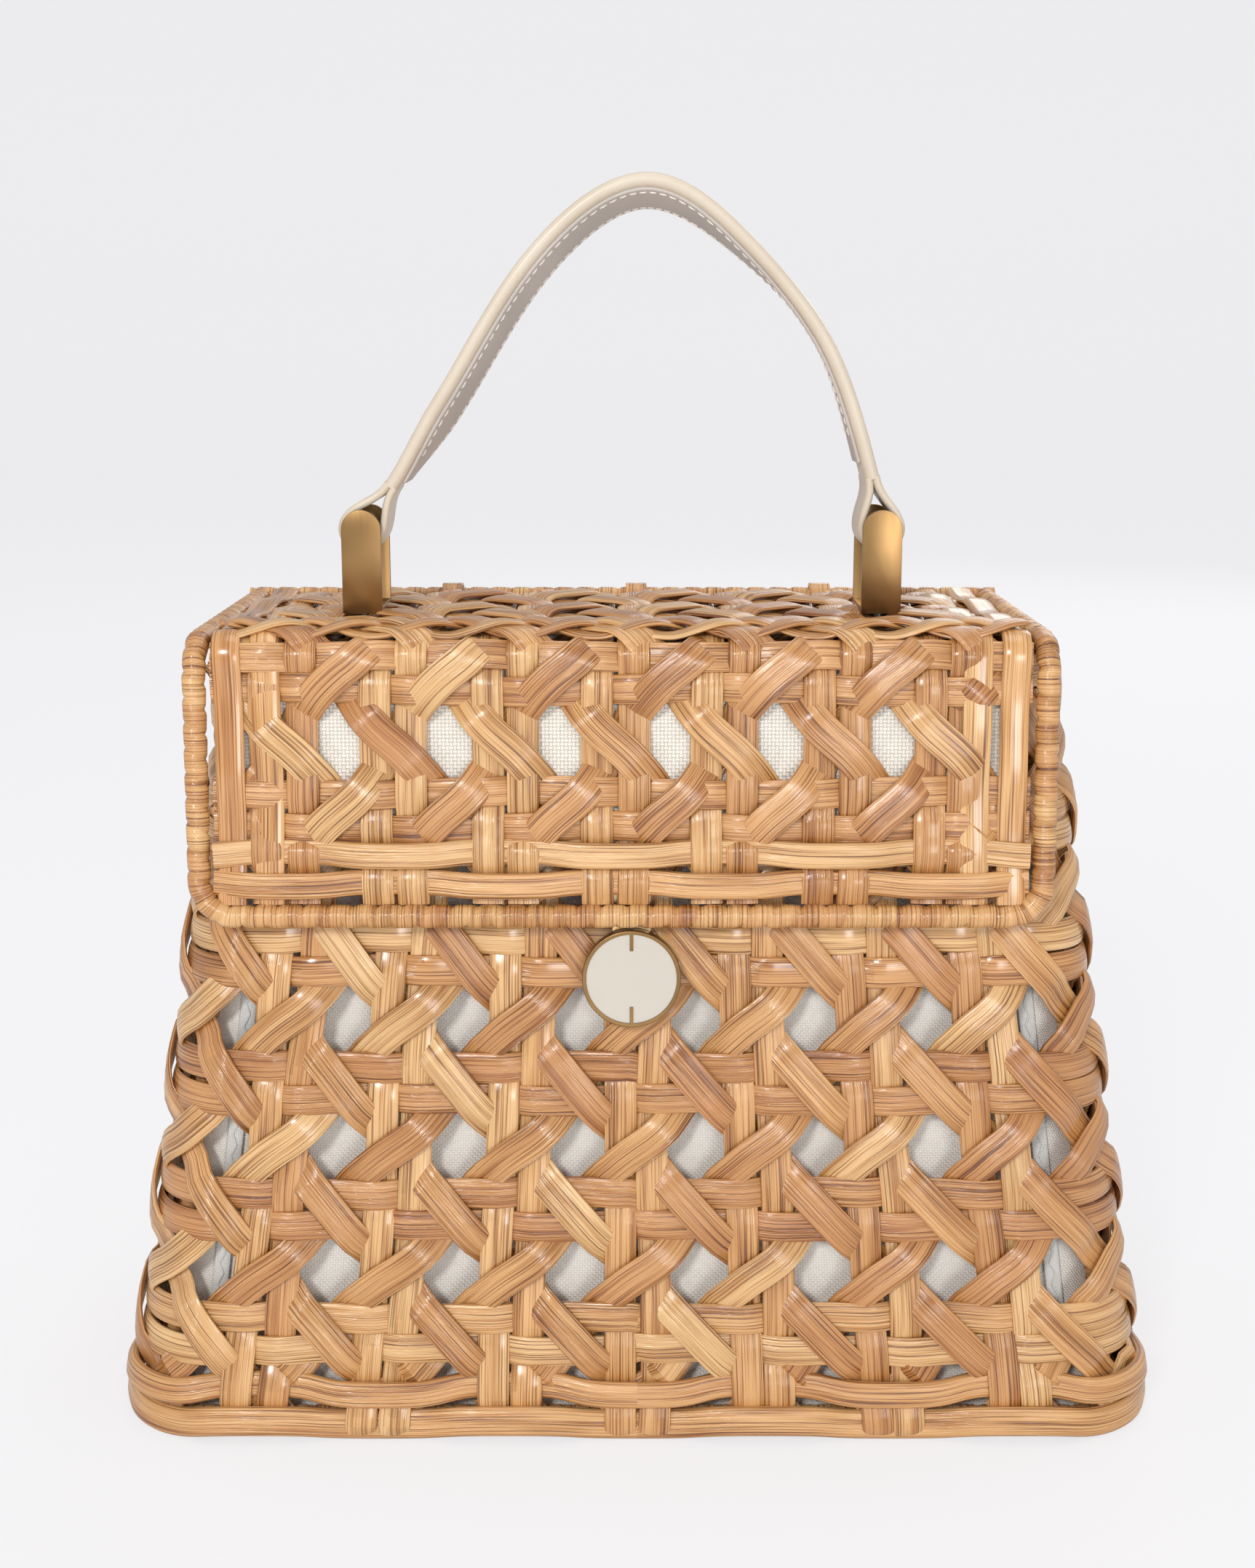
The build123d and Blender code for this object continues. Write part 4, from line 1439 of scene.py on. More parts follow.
@dataclass
class BasketLining:
    """Canvas pouch with taped corner seams."""

    form: BasketForm
    finishes: FinishBook
    clear: float = -0.0088
    cloth: float = 0.001
    foot: float = 0.0036
    top: float = 0.203
    billow: float = 0.0011
    tape_ends: tuple[float, float] = (0.012, 0.196)
    tape_width: float = 0.0042
    tape_thick: float = 0.0006
    stitches: int = 62
    stitch: float = 0.0029
    stitch_side: float = 0.0009

    def build(self) -> None:
        """Makes the pouch and its four seam tapes."""
        pouch = self.pouch()
        finish_piece(pouch, "basket", self.finishes.canvas, ["basket_lining"])
        places = {
            "front_right": 3.46, "back_right": 7.54, "back_left": 14.46, "front_left": 18.54,
        }
        for place, column in places.items():
            tape = self.tape(column, place)
            node = f"seam_tape_{place}"
            finish_piece(tape, "basket", self.finishes.tape, [node])

    def _swell(self, column: float, z: float) -> float:
        """How far the cloth stands off its hung place."""
        up = math.sin(math.pi * min(max((z - self.foot) / (self.top - self.foot), 0), 1))
        fold = 0.5 * math.sin(column * 2.3 + z * 31) + 0.5 * math.sin(column * 5.1 - z * 47 + 1)
        return self.billow * up * (0.45 + 0.5 * fold)

    def pouch(self) -> bpy.types.Object:
        """The pouch, open at the top."""
        across, up, floor_rings = self.form.columns * 8, 46, 8
        points, faces, maps = [], [], []
        rings = [(self.foot, 1 - ring / floor_rings * 0.999) for ring in range(floor_rings, 0, -1)]
        rings += [(z, 1.0) for z in spaced(self.foot, self.top, up)]
        spots = []
        for z, share in rings:
            for index in range(across):
                column = index * self.form.columns / across
                lift = self.clear + (self._swell(column, z) if share == 1 else 0)
                point, _normal = self.form.place(column, z, 0.0, lift)
                point = Vector((point.x * share, point.y * share, z))
                points.append(point)
                run = self.form.run_of(column, 0.1)
                spots.append((run, z) if share == 1 else (point.x, point.y))
        for row in range(len(rings) - 1):
            for index in range(across):
                after = (index + 1) % across
                low, high = row * across, (row + 1) * across
                faces.append((low + index, low + after, high + after, high + index))
                corners = [spots[item] for item in faces[-1]]
                if after == 0 and rings[row + 1][1] == 1:
                    wide = self.form.anchors(0.1)[-1]
                    corners[1] = (wide, corners[1][1])
                    corners[2] = (wide, corners[2][1])
                maps.append(corners)
        piece = new_piece("canvas_pouch", points, faces, maps)
        activate(piece)
        bpy.ops.object.mode_set(mode="EDIT")
        bpy.ops.mesh.select_all(action="SELECT")
        bpy.ops.mesh.remove_doubles(threshold=0.00002)
        bpy.ops.object.mode_set(mode="OBJECT")
        thicken(piece, self.cloth, -1)
        smooth(piece, 50)
        return piece

    def tape(self, column: float, place: str) -> bpy.types.Object:
        """Binding tape with a row of zigzag stitches."""
        mesh = StripMesh(f"binding_tape_{place}")
        lift = self.clear + self.billow + 0.0004
        heights = spaced(*self.tape_ends, 60)
        route = [self.form.place(column, z, 0.0, lift) for z in heights]
        mesh.sweep(route, crowned(self.tape_width, self.tape_thick), 0.5)
        for index in range(self.stitches):
            z = self.tape_ends[0] + 0.002 + self.stitch * index
            side = self.stitch_side if index % 2 else -self.stitch_side
            ends = [
                self.form.place(column, z, -side, lift + 0.0004),
                self.form.place(column, z + self.stitch, side, lift + 0.0004),
            ]
            mesh.sweep(ends, rounded_band(0.0006, 0.0005), 0.5)
        return mesh.build(60)


# The lid as a surface


@dataclass(frozen=True)
class LidForm:
    """Bent sheet of the lid: a level top, a round bend and the flap."""

    shift: float = -0.004
    width: float = 0.216
    top: float = 0.2111
    front_offset: float = 0.0067
    bend: float = 0.006
    lean: float = math.atan(0.013 / 0.206)

    def front_y(self, z: float, offset: float) -> float:
        """Y at a height of a plane in front of the basket's front wall."""
        return -(0.058 - 0.013 * z / 0.206) - offset / math.cos(self.lean)

    def place(self, x: float, run: float, lift: float = 0.0) -> Place:
        """Point on the lid.

        Args:
            x: Distance from the lid's middle.
            run: Distance down the flap from its upper edge, below 0 on the top.
            lift: Distance out of the sheet.

        Returns:
            The point and the outward direction.
        """
        corner_y = self.front_y(self.top, self.front_offset)
        turn = math.pi / 2 - self.lean
        reach = self.bend * math.tan(turn / 2)
        down = Vector((0, -math.sin(self.lean), -math.cos(self.lean)))
        corner = Vector((self.shift + x, corner_y, self.top))
        if run >= reach:
            normal = Vector((0, -math.cos(self.lean), math.sin(self.lean)))
            return corner + down * run + normal * lift, normal
        if run <= -reach:
            normal = Vector((0, 0, 1))
            return corner + Vector((0, -run, 0)) + normal * lift, normal
        angle = turn * (run + reach) / (2 * reach)
        normal = Vector((0, -math.sin(angle), math.cos(angle)))
        centre = corner + Vector((0, reach, -self.bend))
        return centre + normal * (self.bend + lift), normal


@dataclass
class LidWeave:
    """The cane strips and wrapped border of the lid."""

    form: LidForm
    finishes: FinishBook
    pitch: float = 0.0273
    pair_shift: float = -0.0015
    pairs: int = 3
    half: float = 0.1012
    strip: float = 0.0080
    thick: float = 0.0015
    spacing: float = 0.0088
    sink: float = -0.0009
    wave: float = 0.00115
    slant_wave: float = 0.0022
    row_runs: tuple[float, ...] = (0.0775, 0.043, 0.0085, -0.0225, -0.0525, -0.0825)
    foot_run: float = 0.0665
    back_run: float = -0.0945
    strand_runs: tuple[float, float] = (0.0537, 0.0613)
    slant_ends: tuple[float, float] = (-1.3, 4.7)
    slant_foot: float = 0.0605
    side_places: tuple[float, float] = (0.0972, 0.0879)
    plait_run: float = -0.0105
    plait_sway: float = 0.0052
    border_radius: float = 0.0031
    border_proud: float = 0.0073
    border_foot: float = 0.1418
    border_back: float = 0.0451
    border_bend: float = 0.009
    rng: random.Random = field(default_factory=lambda: random.Random(SEED + 2))

    def build(self) -> None:
        """Makes the woven lid and its border."""
        pieces = [self.uprights(), self.rows(), self.slants(Slant.RISING),
                  self.slants(Slant.FALLING), self.strands(), self.plait()]
        for piece in pieces:
            finish_piece(piece, "lid", self.finishes.cane, ["lid_weave"])
        finish_piece(self.border(), "lid", self.finishes.wrap, ["lid_border"])

    def run_of(self, row: float) -> float:
        """Run of a row, counted upwards from one below the flap's lower pair."""
        low = min(max(int(math.floor(row + 1)), 0), len(self.row_runs) - 2)
        share = row + 1 - low
        return self.row_runs[low] + (self.row_runs[low + 1] - self.row_runs[low]) * share

    def column_x(self, column: float) -> float:
        """Distance of a column from the lid's middle."""
        return self.pair_shift + self.pitch * column

    def uprights(self) -> bpy.types.Object:
        """Pairs of strips that run over the top and down the flap."""
        mesh = StripMesh("lid_uprights")
        section = crowned(self.strip, self.thick)
        for column in range(-self.pairs, self.pairs + 1):
            for hand in Hand:
                mesh.sweep(self._upright_route(column, hand), section, self.rng.random())
        for side in Hand:
            for outer in self.side_places:
                x = side.value * outer
                lean = -side.value * self.rng.uniform(0.0, 0.0015)
                phase = 900 * (self.side_places[0] - outer)
                route = []
                for run in spaced(self.back_run, self.foot_run, 90):
                    lift = 0.0003 + 0.0006 * math.cos(run * 190 + phase)
                    route.append(self.form.place(x + lean * math.sin(run * 40), run, lift))
                mesh.sweep(route, crowned(self.strip - 0.0008, self.thick), self.rng.random())
        return mesh.build()

    def _upright_route(self, column: int, hand: Hand) -> list[Place]:
        """Stations of one strip of a pair, from the back to the flap's foot."""
        sign, odd = hand.value, column % 2 != 0
        keys = [(self.back_run, self.sink)]
        for row in range(len(self.row_runs) - 2, -1, -1):
            middle = self.run_of(row)
            keys.append((middle - self.spacing / 2, self.sink + sign * self.wave))
            keys.append((middle + self.spacing / 2, self.sink - sign * self.wave))
        keys.append((self.strand_runs[0], 0.0012 if odd else -0.0012))
        keys.append((self.strand_runs[1], -0.0012 if odd else 0.0012))
        keys.append((self.foot_run, -0.0004))
        drift = self.rng.uniform(-0.0005, 0.0005)
        x = self.column_x(column) + sign * self.spacing / 2
        route = []
        for run in spaced(self.back_run, self.foot_run, 126):
            route.append(self.form.place(x + drift * math.sin(run * 45), run, eased(keys, run)))
        return route

    def rows(self) -> bpy.types.Object:
        """Pairs of strips that run along the lid."""
        mesh = StripMesh("lid_rows")
        section = crowned(self.strip - 0.0006, self.thick)
        for row in range(len(self.row_runs) - 1):
            for hand in Hand:
                run = self.run_of(row) - hand.value * self.spacing / 2
                wobble = self.rng.uniform(0, 6)
                route = []
                for x in spaced(-self.half, self.half, 160):
                    drift = 0.0006 * math.sin(x * 61 + wobble)
                    route.append(self.form.place(x, run + drift, self._row_lift(x, hand)))
                mesh.sweep(route, section, self.rng.random())
        return mesh.build()

    def _row_lift(self, x: float, hand: Hand) -> float:
        """How far a row strip stands out. The upper one goes over each left strip."""
        column = round((x - self.pair_shift) / self.pitch)
        if abs(column) > self.pairs:
            return self.sink - 0.0004
        rise = hand.value * self.wave
        middle = self.column_x(column)
        keys = [
            (middle - self.pitch / 2, self.sink), (middle - self.spacing / 2, self.sink + rise),
            (middle + self.spacing / 2, self.sink - rise), (middle + self.pitch / 2, self.sink),
        ]
        return eased(keys, x)

    def slants(self, way: Slant) -> bpy.types.Object:
        """Slanted strips: falling ones go over the uprights, rising ones over the rows."""
        mesh = StripMesh(f"lid_{way.name.lower()}_slants")
        section = crowned(self.strip + 0.0008, self.thick)
        for start in range(-8, 9):
            drift = self.rng.uniform(-0.0008, 0.0008)
            tone = self.rng.random()
            for part in unbroken(self._slant_stations(start, way, drift), 4):
                mesh.sweep(part, section, tone)
        return mesh.build()

    def _slant_stations(self, start: int, way: Slant, drift: float) -> Iterator[Place | None]:
        """Stations of one slanted strip.

        Args:
            start: Column that it starts from.
            way: Which way it climbs.
            drift: Distance to the side of its even place.

        Yields:
            Each station, or None where the strip would lie outside the lid.
        """
        bend = -0.32 if way is Slant.FALLING else 0.34
        for step in spaced(*self.slant_ends, 120):
            run = self.run_of(bent_row(step, bend))
            x = self.column_x(start + way.value * step) + drift
            if abs(x) < self.half - 0.001 and self.back_run + 0.002 < run < self.slant_foot:
                yield self.form.place(x, run, self._slant_lift(way, step, x, run))
            else:
                yield None

    def _slant_lift(self, way: Slant, step: float, x: float, run: float) -> float:
        """How far a slanted strip stands out.

        Args:
            way: Which way it climbs.
            step: Columns from where it starts.
            x: Distance from the lid's middle.
            run: Distance down the flap.

        Returns:
            The lift. It sinks at the border and behind the loose strands.
        """
        wave = squared(math.cos(2 * math.pi * step) - way.value * 0.34, 2.6)
        lift = self.sink - way.value * wave * self.slant_wave
        if way is Slant.RISING and run > 0.043:
            lift = self.sink + self.slant_wave
        low = self.sink - 0.0012
        hidden = min(max((run - 0.0475) / 0.005, 0.0), 1.0)
        tucked = min(max((abs(x) - 0.0865) / 0.007, 0.0), 1.0)
        share = max(hidden, tucked)
        return lift + (low - lift) * share * share * (3 - 2 * share)

    def strands(self) -> bpy.types.Object:
        """Two loose thick strands across the foot of the flap."""
        mesh = StripMesh("flap_strands")
        for level, run in enumerate(self.strand_runs):
            sign = 1 if level else -1
            route = []
            for x in spaced(-self.half, self.half, 160):
                column = (x - self.pair_shift) / self.pitch
                wave = -squared(math.cos(math.pi * column), 1.6)
                lift = 0.0006 + sign * wave * 0.0011
                route.append(self.form.place(x, run + sign * wave * 0.0004, lift))
            mesh.sweep(route, rounded_band(0.0066, 0.0024), 0.25 + 0.3 * level)
        return mesh.build()

    def plait(self) -> bpy.types.Object:
        """Strands laid in long waves along the front of the top."""
        mesh = StripMesh("top_plait")
        section = crowned(0.0072, 0.0016)
        reach = self.half - 0.002
        for lane in range(3):
            route = []
            for x in spaced(-reach, reach, 240):
                turn = 2 * math.pi * (x / (2 * self.pitch) + lane / 3)
                run = self.plait_run + self.plait_sway * math.sin(turn)
                lift = 0.0013 + 0.0015 * math.cos(2 * turn + 0.6)
                route.append(self.form.place(x, run, lift))
            mesh.sweep(route, section, self.rng.random())
        return mesh.build()

    def border(self) -> bpy.types.Object:
        """Rod wound with cane round the sides and foot of the lid."""
        top = self.form.top - self.border_radius + 0.0012
        x = self.form.width / 2 - self.border_radius
        levels = [(top, self.border_back)]
        for z in (top, self.border_foot):
            levels.append((z, self.form.front_y(z, self.border_proud)))
        left = [Vector((self.form.shift - x, y, z)) for z, y in levels]
        right = [Vector((self.form.shift + x, y, z)) for z, y in reversed(levels)]
        middle = Vector((self.form.shift, 0, 0.17))
        points = rounded_route(left + right, self.border_bend, 0.0006)
        route = [(point, (point - middle).normalized()) for point in points]
        mesh = StripMesh("wrapped_border")
        mesh.wrap(route, self.border_radius, 0.45)
        return mesh.build(ROD_SMOOTH)


@dataclass
class LidLining:
    """Linen under the top and behind the flap."""

    form: LidForm
    finishes: FinishBook
    level: float = -0.0036
    half: float = 0.098
    ends: tuple[float, float] = (-0.088, 0.0575)
    cloth: float = 0.0009

    def build(self) -> None:
        """Makes the linen panel."""
        runs, sides = spaced(*self.ends, 90), spaced(-self.half, self.half, 80)
        points, faces, maps = [], [], []
        for run in runs:
            for x in sides:
                sag = 0.0003 * math.sin(x * 70 + run * 40)
                points.append(self.form.place(x, run, self.level + sag)[0])
        size = len(sides)
        for row in range(len(runs) - 1):
            for index in range(size - 1):
                start = row * size + index
                faces.append((start, start + size, start + size + 1, start + 1))
                low, high = runs[row] - runs[0], runs[row + 1] - runs[0]
                left, right = sides[index] + self.half, sides[index + 1] + self.half
                maps.append([(left, low), (left, high), (right, high), (right, low)])
        piece = new_piece("linen_panel", points, faces, maps)
        thicken(piece, self.cloth, 0)
        smooth(piece, 40)
        finish_piece(piece, "lid", self.finishes.linen, ["lid_lining"])


@dataclass
class LidHinge:
    """Wrapped hinge rod at the back of the lid."""

    finishes: FinishBook
    y: float = 0.0476
    z: float = 0.2099
    radius: float = 0.0024
    half: float = 0.108
    shift: float = -0.004

    def build(self) -> None:
        """Makes the wrapped rod and dresses the cane loops."""
        start = Vector((self.shift - self.half, self.y, self.z))
        end = Vector((self.shift + self.half, self.y, self.z))
        points = [start, *even_steps(start, end, 0.0007)]
        mesh = StripMesh("wrapped_hinge_rod")
        mesh.wrap([(point, Vector((0, 0, 1))) for point in points], self.radius, 0.4)
        finish_piece(mesh.build(ROD_SMOOTH), "lid", self.finishes.wrap, ["hinge_rod"])
        for name in ("left", "middle", "right"):
            node = f"hinge_loop_{name}"
            loop = refined_copy(node, 0.0002)
            box_map(loop)
            finish_piece(loop, "basket", self.finishes.cane, [node])


def refined_copy(node: str, edge: float) -> bpy.types.Object:
    """Copies a CAD node with its sharp edges rounded.

    Args:
        node: Name of the CAD node.
        edge: Width of the rounding.

    Returns:
        The copy, under the node's name with _finished added.
    """
    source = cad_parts[node]
    piece = bpy.data.objects.new(f"{node}_finished", source.data.copy())
    bpy.context.scene.collection.objects.link(piece)
    activate(piece)
    bpy.ops.object.mode_set(mode="EDIT")
    bpy.ops.mesh.select_all(action="SELECT")
    bpy.ops.mesh.remove_doubles(threshold=0.000002)
    bpy.ops.mesh.dissolve_limited(angle_limit=math.radians(1))
    bpy.ops.mesh.normals_make_consistent(inside=False)
    bpy.ops.object.mode_set(mode="OBJECT")
    if piece.data.has_custom_normals:
        bpy.ops.mesh.customdata_custom_splitnormals_clear()
    modifier = piece.modifiers.new("edges", "BEVEL")
    modifier.width = edge
    modifier.segments = 3
    modifier.limit_method = "ANGLE"
    modifier.angle_limit = math.radians(40)
    modifier.use_clamp_overlap = True
    bpy.ops.object.modifier_apply(modifier="edges")
    smooth(piece, 30)
    return piece


def box_map(piece: bpy.types.Object) -> None:
    """Maps a piece by its own height and width, in metres, with an even tone."""
    mesh = piece.data
    while mesh.uv_layers:
        mesh.uv_layers.remove(mesh.uv_layers[0])
    layer = mesh.uv_layers.new(name="UVMap")
    for loop in mesh.loops:
        spot = mesh.vertices[loop.vertex_index].co
        layer.data[loop.index].uv = (spot.z + spot.y, spot.x)
    tone = mesh.attributes.new("tone", "FLOAT", "POINT")
    for item in tone.data:
        item.value = 0.5


@dataclass
class Hardware:
    """Brass brackets, pins, screws and the round clasp."""

    finishes: FinishBook
    edge: float = 0.00035

    def build(self) -> None:
        """Rounds and dresses the metal pieces."""
        for hand in ("left", "right"):
            piece = refined_copy(f"bracket_{hand}", self.edge)
            finish_piece(piece, "lid", self.finishes.brass, [f"bracket_{hand}"])
            dress_node(f"bracket_pin_{hand}", self.finishes.steel)
            dress_node(f"backing_plate_{hand}", self.finishes.steel)
            dress_node(f"bracket_screws_{hand}", self.finishes.steel)
        for node in ("strike_plate", "strike_washer", "clasp_cam"):
            dress_node(node, self.finishes.brass)
        dress_node("clasp_tab", self.finishes.pale_gold)
        dress_node("clasp_disc", self.finishes.brass)
        dress_node("clasp_enamel", self.finishes.enamel)


@dataclass
class LeatherHandle:
    """Folded leather strap with an eye at each end and an inner strip."""

    finishes: FinishBook
    shift: float = -0.004
    y: float = -0.002
    pin_z: float = 0.23395
    rise: float = 0.0864
    width: float = 0.0175
    thick: float = 0.0040
    ply: float = 0.0021
    eye: float = 0.0062
    twist: Keys = field(
        default_factory=lambda: [(0.0, 0.0), (0.12, 15.0), (0.5, 17.0), (0.78, -5.0), (1.0, 0.0)]
    )
    pin_reach: float = 0.068
    line: tuple[tuple[float, float], ...] = (
        (-0.0604, 0.125), (-0.0435, 0.41), (-0.016, 0.86), (0.0062, 1.0),
        (0.031, 0.85), (0.0535, 0.55), (0.0613, 0.32), (0.0654, 0.15),
    )

    def middle(self, count: int) -> list[Vector]:
        """Points along the strap's middle line, from left to right."""
        knots = [(self.shift + x, self.pin_z + share * self.rise) for x, share in self.line]
        return [Vector((x, self.y, z)) for x, z in spline(knots, count)]

    def _route(self, points: Sequence[Vector], lift: float = 0.0) -> list[Place]:
        """Stations along the line, with the outward direction above the arch."""
        route = []
        for index, point in enumerate(points):
            before = points[max(index - 1, 0)]
            after = points[min(index + 1, len(points) - 1)]
            run = (after - before).normalized()
            flat = Vector((-run.z, 0, run.x))
            turn = math.radians(eased(self.twist, index / (len(points) - 1)))
            out = flat * math.cos(turn) + Vector((0, 1, 0)) * math.sin(turn)
            route.append((point + out * lift, out))
        return route

    def build(self) -> None:
        """Makes the strap, its eyes, its inner strip and its stitches."""
        mesh = StripMesh("leather_strap")
        line = self.middle(121)
        mesh.sweep(self._route(line), padded(self.width, self.thick), 0.5)
        ply = rounded_band(self.width, self.ply)
        for hand, end, inner in ((Hand.LEFT, line[0], line[1]), (Hand.RIGHT, line[-1], line[-2])):
            mesh.sweep(self._eye_route(hand, end, end - inner), ply, 0.5)
        strap = mesh.build(50)
        finish_piece(strap, "lid", self.finishes.leather, ["handle_strap"])
        strip = StripMesh("inner_strip")
        level = -self.thick / 2 - 0.0003
        inside = self._route(line, level)[2:-3]
        strip.sweep(inside, rounded_band(self.width - 0.0034, 0.001), 0.5)
        finish_piece(strip.build(50), "lid", self.finishes.leather_inside,
                     ["handle_inner_strip"])
        finish_piece(self._stitches(), "lid", self.finishes.thread,
                     ["handle_inner_strip"])

    def _eye_route(self, hand: Hand, end: Vector, away: Vector) -> list[Place]:
        """Stations of the leather turned round its pin and back to the strap."""
        pin = Vector((self.shift + hand.value * self.pin_reach, self.y, self.pin_z))
        radius = self.eye - self.ply / 2
        toward = (pin - end).normalized()
        side = Vector((toward.z, 0, -toward.x))
        base = end - away.normalized() * 0.0006
        gap = (self.thick - self.ply) / 2
        knots = [(base + side * gap), (end + toward * 0.002 + side * (gap + 0.0002))]
        for degrees in range(100, -101, -20):
            turn = math.radians(degrees)
            knots.append(pin + side * (radius * math.sin(turn)) + toward * (radius * math.cos(turn)))
        knots += [end + toward * 0.002 - side * (gap + 0.0002), base - side * gap]
        points = [Vector((x, self.y, z)) for x, z in spline([(k.x, k.z) for k in knots], 61)]
        route = []
        for index, point in enumerate(points):
            before, after = points[max(index - 1, 0)], points[min(index + 1, 60)]
            run = (after - before).normalized()
            out = Vector((run.z, 0, -run.x))
            if out.dot(point - pin) < 0:
                out = -out
            route.append((point, out))
        return route

    def _stitches(self) -> bpy.types.Object:
        """Rows of stitches along both edges of the inner strip."""
        mesh = StripMesh("handle_stitches")
        line = self.middle(141)
        route = self._route(line, -self.thick / 2 - 0.0008)
        for side in (-1, 1):
            for index in range(8, 132, 2):
                ends = []
                for step in (0.0, 0.65, 1.35):
                    low = route[index + int(step)]
                    high = route[index + int(step) + 1]
                    share = step - int(step)
                    point = low[0].lerp(high[0], share)
                    depth = 0.00012 if step == 0.65 else -0.00005
                    across = (high[0] - low[0]).normalized().cross(low[1])
                    place = point + across * side * (self.width / 2 - 0.0033) - low[1] * depth
                    ends.append((place, -low[1]))
                mesh.sweep(ends, rounded_band(0.0006, 0.0005), 0.5)
        return mesh.build(60)


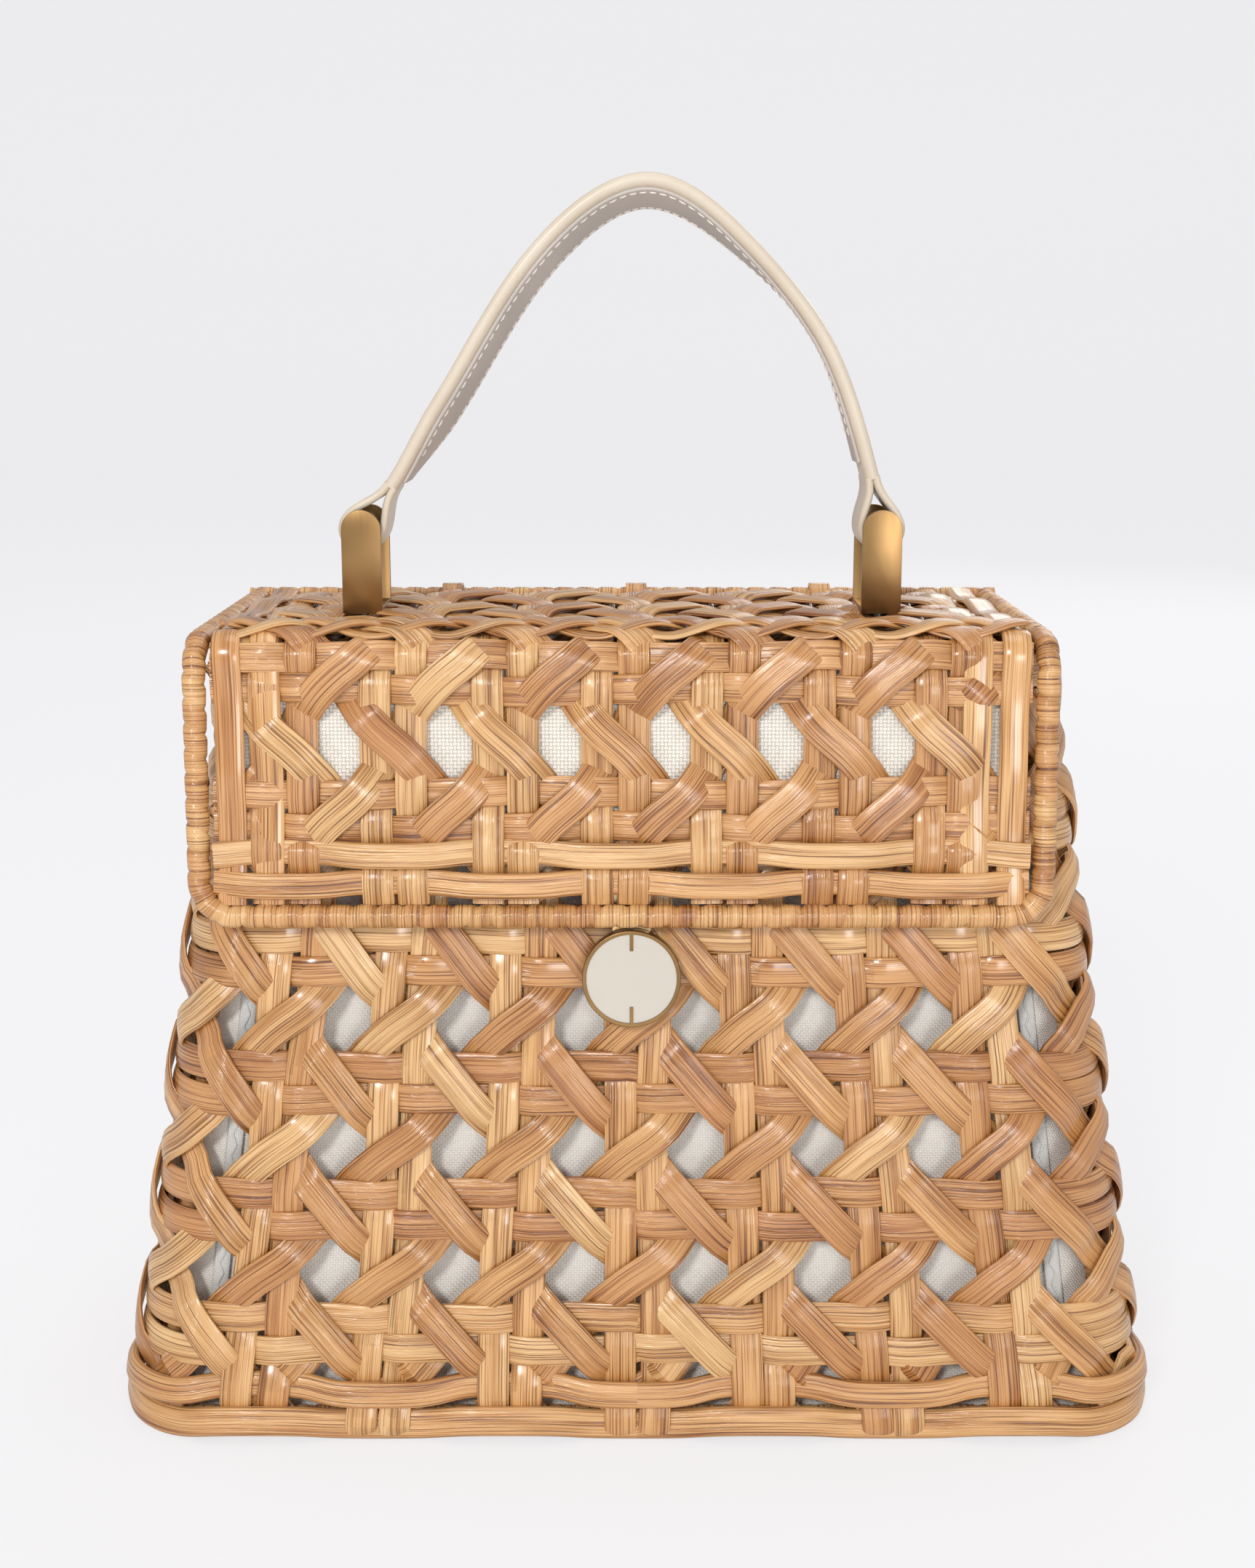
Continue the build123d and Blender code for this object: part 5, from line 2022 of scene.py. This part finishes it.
@dataclass
class Studio:
    """Floor, backdrop, lamps and camera."""

    floor_tint: Colour = (0.92, 0.92, 0.93)
    backdrop_tint: Colour = (0.988, 0.985, 0.992)
    camera_place: tuple[float, float, float] = (-0.0025, -0.564, 0.282)
    camera_tilt: float = 11.85
    lens: float = 60.5
    sensor: float = 36.0
    glow: float = 0.72
    air: float = 0.60
    aim: tuple[float, float, float] = (0.0, 0.0, 0.13)

    def build(self) -> None:
        """Makes the whole studio."""
        self._floor()
        self._world()
        self._lamps()
        self._camera()

    def _floor(self) -> None:
        """Pale floor that runs up into a backdrop."""
        deselect_all()
        bpy.ops.mesh.primitive_plane_add(size=8, location=(0, 0, 0))
        floor = bpy.context.object
        floor.name = "studio_floor"
        bpy.ops.object.mode_set(mode="EDIT")
        bpy.ops.mesh.select_all(action="DESELECT")
        bpy.ops.object.mode_set(mode="OBJECT")
        for edge in floor.data.edges:
            ends = [floor.data.vertices[place].co.y for place in edge.vertices]
            edge.select = min(ends) > 3.9
        bpy.ops.object.mode_set(mode="EDIT")
        bpy.ops.mesh.select_mode(type="EDGE")
        for rise in (0.1, 0.3, 0.6, 1.0, 3.0):
            back = 0.6 - rise / 2 if rise < 1 else 0.0
            move = {"value": (0, back, rise)}
            bpy.ops.mesh.extrude_region_move(TRANSFORM_OT_translate=move)
        bpy.ops.object.mode_set(mode="OBJECT")
        smooth(floor, 80)
        material = bpy.data.materials.new("studio_paper")
        material.use_nodes = True
        tree = material.node_tree
        shader = tree.nodes["Principled BSDF"]
        shader.inputs["Base Color"].default_value = linear(self.floor_tint)
        shader.inputs["Roughness"].default_value = 0.8
        glow = tree.nodes.new("ShaderNodeEmission")
        glow.inputs["Color"].default_value = linear(self.backdrop_tint)
        rays = tree.nodes.new("ShaderNodeLightPath")
        share = tree.nodes.new("ShaderNodeMath")
        share.operation = "MULTIPLY"
        share.inputs[1].default_value = self.glow
        blend = tree.nodes.new("ShaderNodeMixShader")
        tree.links.new(rays.outputs["Is Camera Ray"], share.inputs[0])
        tree.links.new(share.outputs[0], blend.inputs[0])
        tree.links.new(shader.outputs[0], blend.inputs[1])
        tree.links.new(glow.outputs[0], blend.inputs[2])
        tree.links.new(blend.outputs[0], tree.nodes["Material Output"].inputs["Surface"])
        floor.data.materials.append(material)

    def _world(self) -> None:
        """Plain light all round, with the backdrop's tint for camera and transmission rays."""
        world = bpy.data.worlds.new("studio_air")
        bpy.context.scene.world = world
        world.use_nodes = True
        tree = world.node_tree
        light = tree.nodes["Background"]
        light.inputs["Color"].default_value = (1.0, 1.0, 1.0, 1.0)
        light.inputs["Strength"].default_value = self.air
        shown = tree.nodes.new("ShaderNodeBackground")
        shown.inputs["Color"].default_value = linear(self.backdrop_tint)
        rays = tree.nodes.new("ShaderNodeLightPath")
        seen = tree.nodes.new("ShaderNodeMath")
        seen.operation = "MAXIMUM"
        blend = tree.nodes.new("ShaderNodeMixShader")
        tree.links.new(rays.outputs["Is Camera Ray"], seen.inputs[0])
        tree.links.new(rays.outputs["Is Transmission Ray"], seen.inputs[1])
        tree.links.new(seen.outputs[0], blend.inputs[0])
        tree.links.new(light.outputs[0], blend.inputs[1])
        tree.links.new(shown.outputs[0], blend.inputs[2])
        tree.links.new(blend.outputs[0], tree.nodes["World Output"].inputs["Surface"])

    def _lamps(self) -> None:
        """Soft lamps: a key from the upper left, a fill, one above and one behind."""
        lamps = (
            ("key_lamp", (-0.50, -1.6, 0.95), 0.28, 13.0),
            ("fill_lamp", (0.60, -1.9, 0.35), 0.6, 7.5),
            ("top_lamp", (0.1, 0.0, 1.5), 0.8, 2.5),
            ("back_lamp", (0.7, 1.7, 1.0), 1.0, 6.0),
        )
        for name, place, size, power in lamps:
            data = bpy.data.lights.new(name, "AREA")
            data.size = size
            data.energy = power
            lamp = bpy.data.objects.new(name, data)
            lamp.location = place
            aim = Vector(self.aim) - Vector(place)
            lamp.rotation_euler = aim.to_track_quat("-Z", "Y").to_euler()
            bpy.context.scene.collection.objects.link(lamp)

    def _camera(self) -> None:
        """Camera at the photograph's viewing angle."""
        data = bpy.data.cameras.new("photo_camera")
        data.sensor_fit = "HORIZONTAL"
        data.sensor_width = self.sensor
        data.lens = self.lens
        data.clip_start = 0.02
        camera = bpy.data.objects.new("photo_camera", data)
        camera.location = self.camera_place
        camera.rotation_euler = (math.radians(90 - self.camera_tilt), 0, 0)
        bpy.context.scene.collection.objects.link(camera)
        bpy.context.scene.camera = camera


def main() -> None:
    """Builds the bag around the CAD frame, then the studio."""
    logging.basicConfig(level=logging.INFO, format="%(name)s: %(message)s")
    finishes = FinishBook()
    basket = BasketForm()
    lid = LidForm()
    BasketWeave(basket, finishes).build()
    BasketFrame(basket, finishes).build()
    BasketLining(basket, finishes).build()
    LidWeave(lid, finishes).build()
    LidLining(lid, finishes).build()
    LidHinge(finishes).build()
    Hardware(finishes).build()
    LeatherHandle(finishes).build()
    Studio().build()
    bpy.context.scene.view_settings.view_transform = "Standard"


if __name__ == "__main__":
    main()
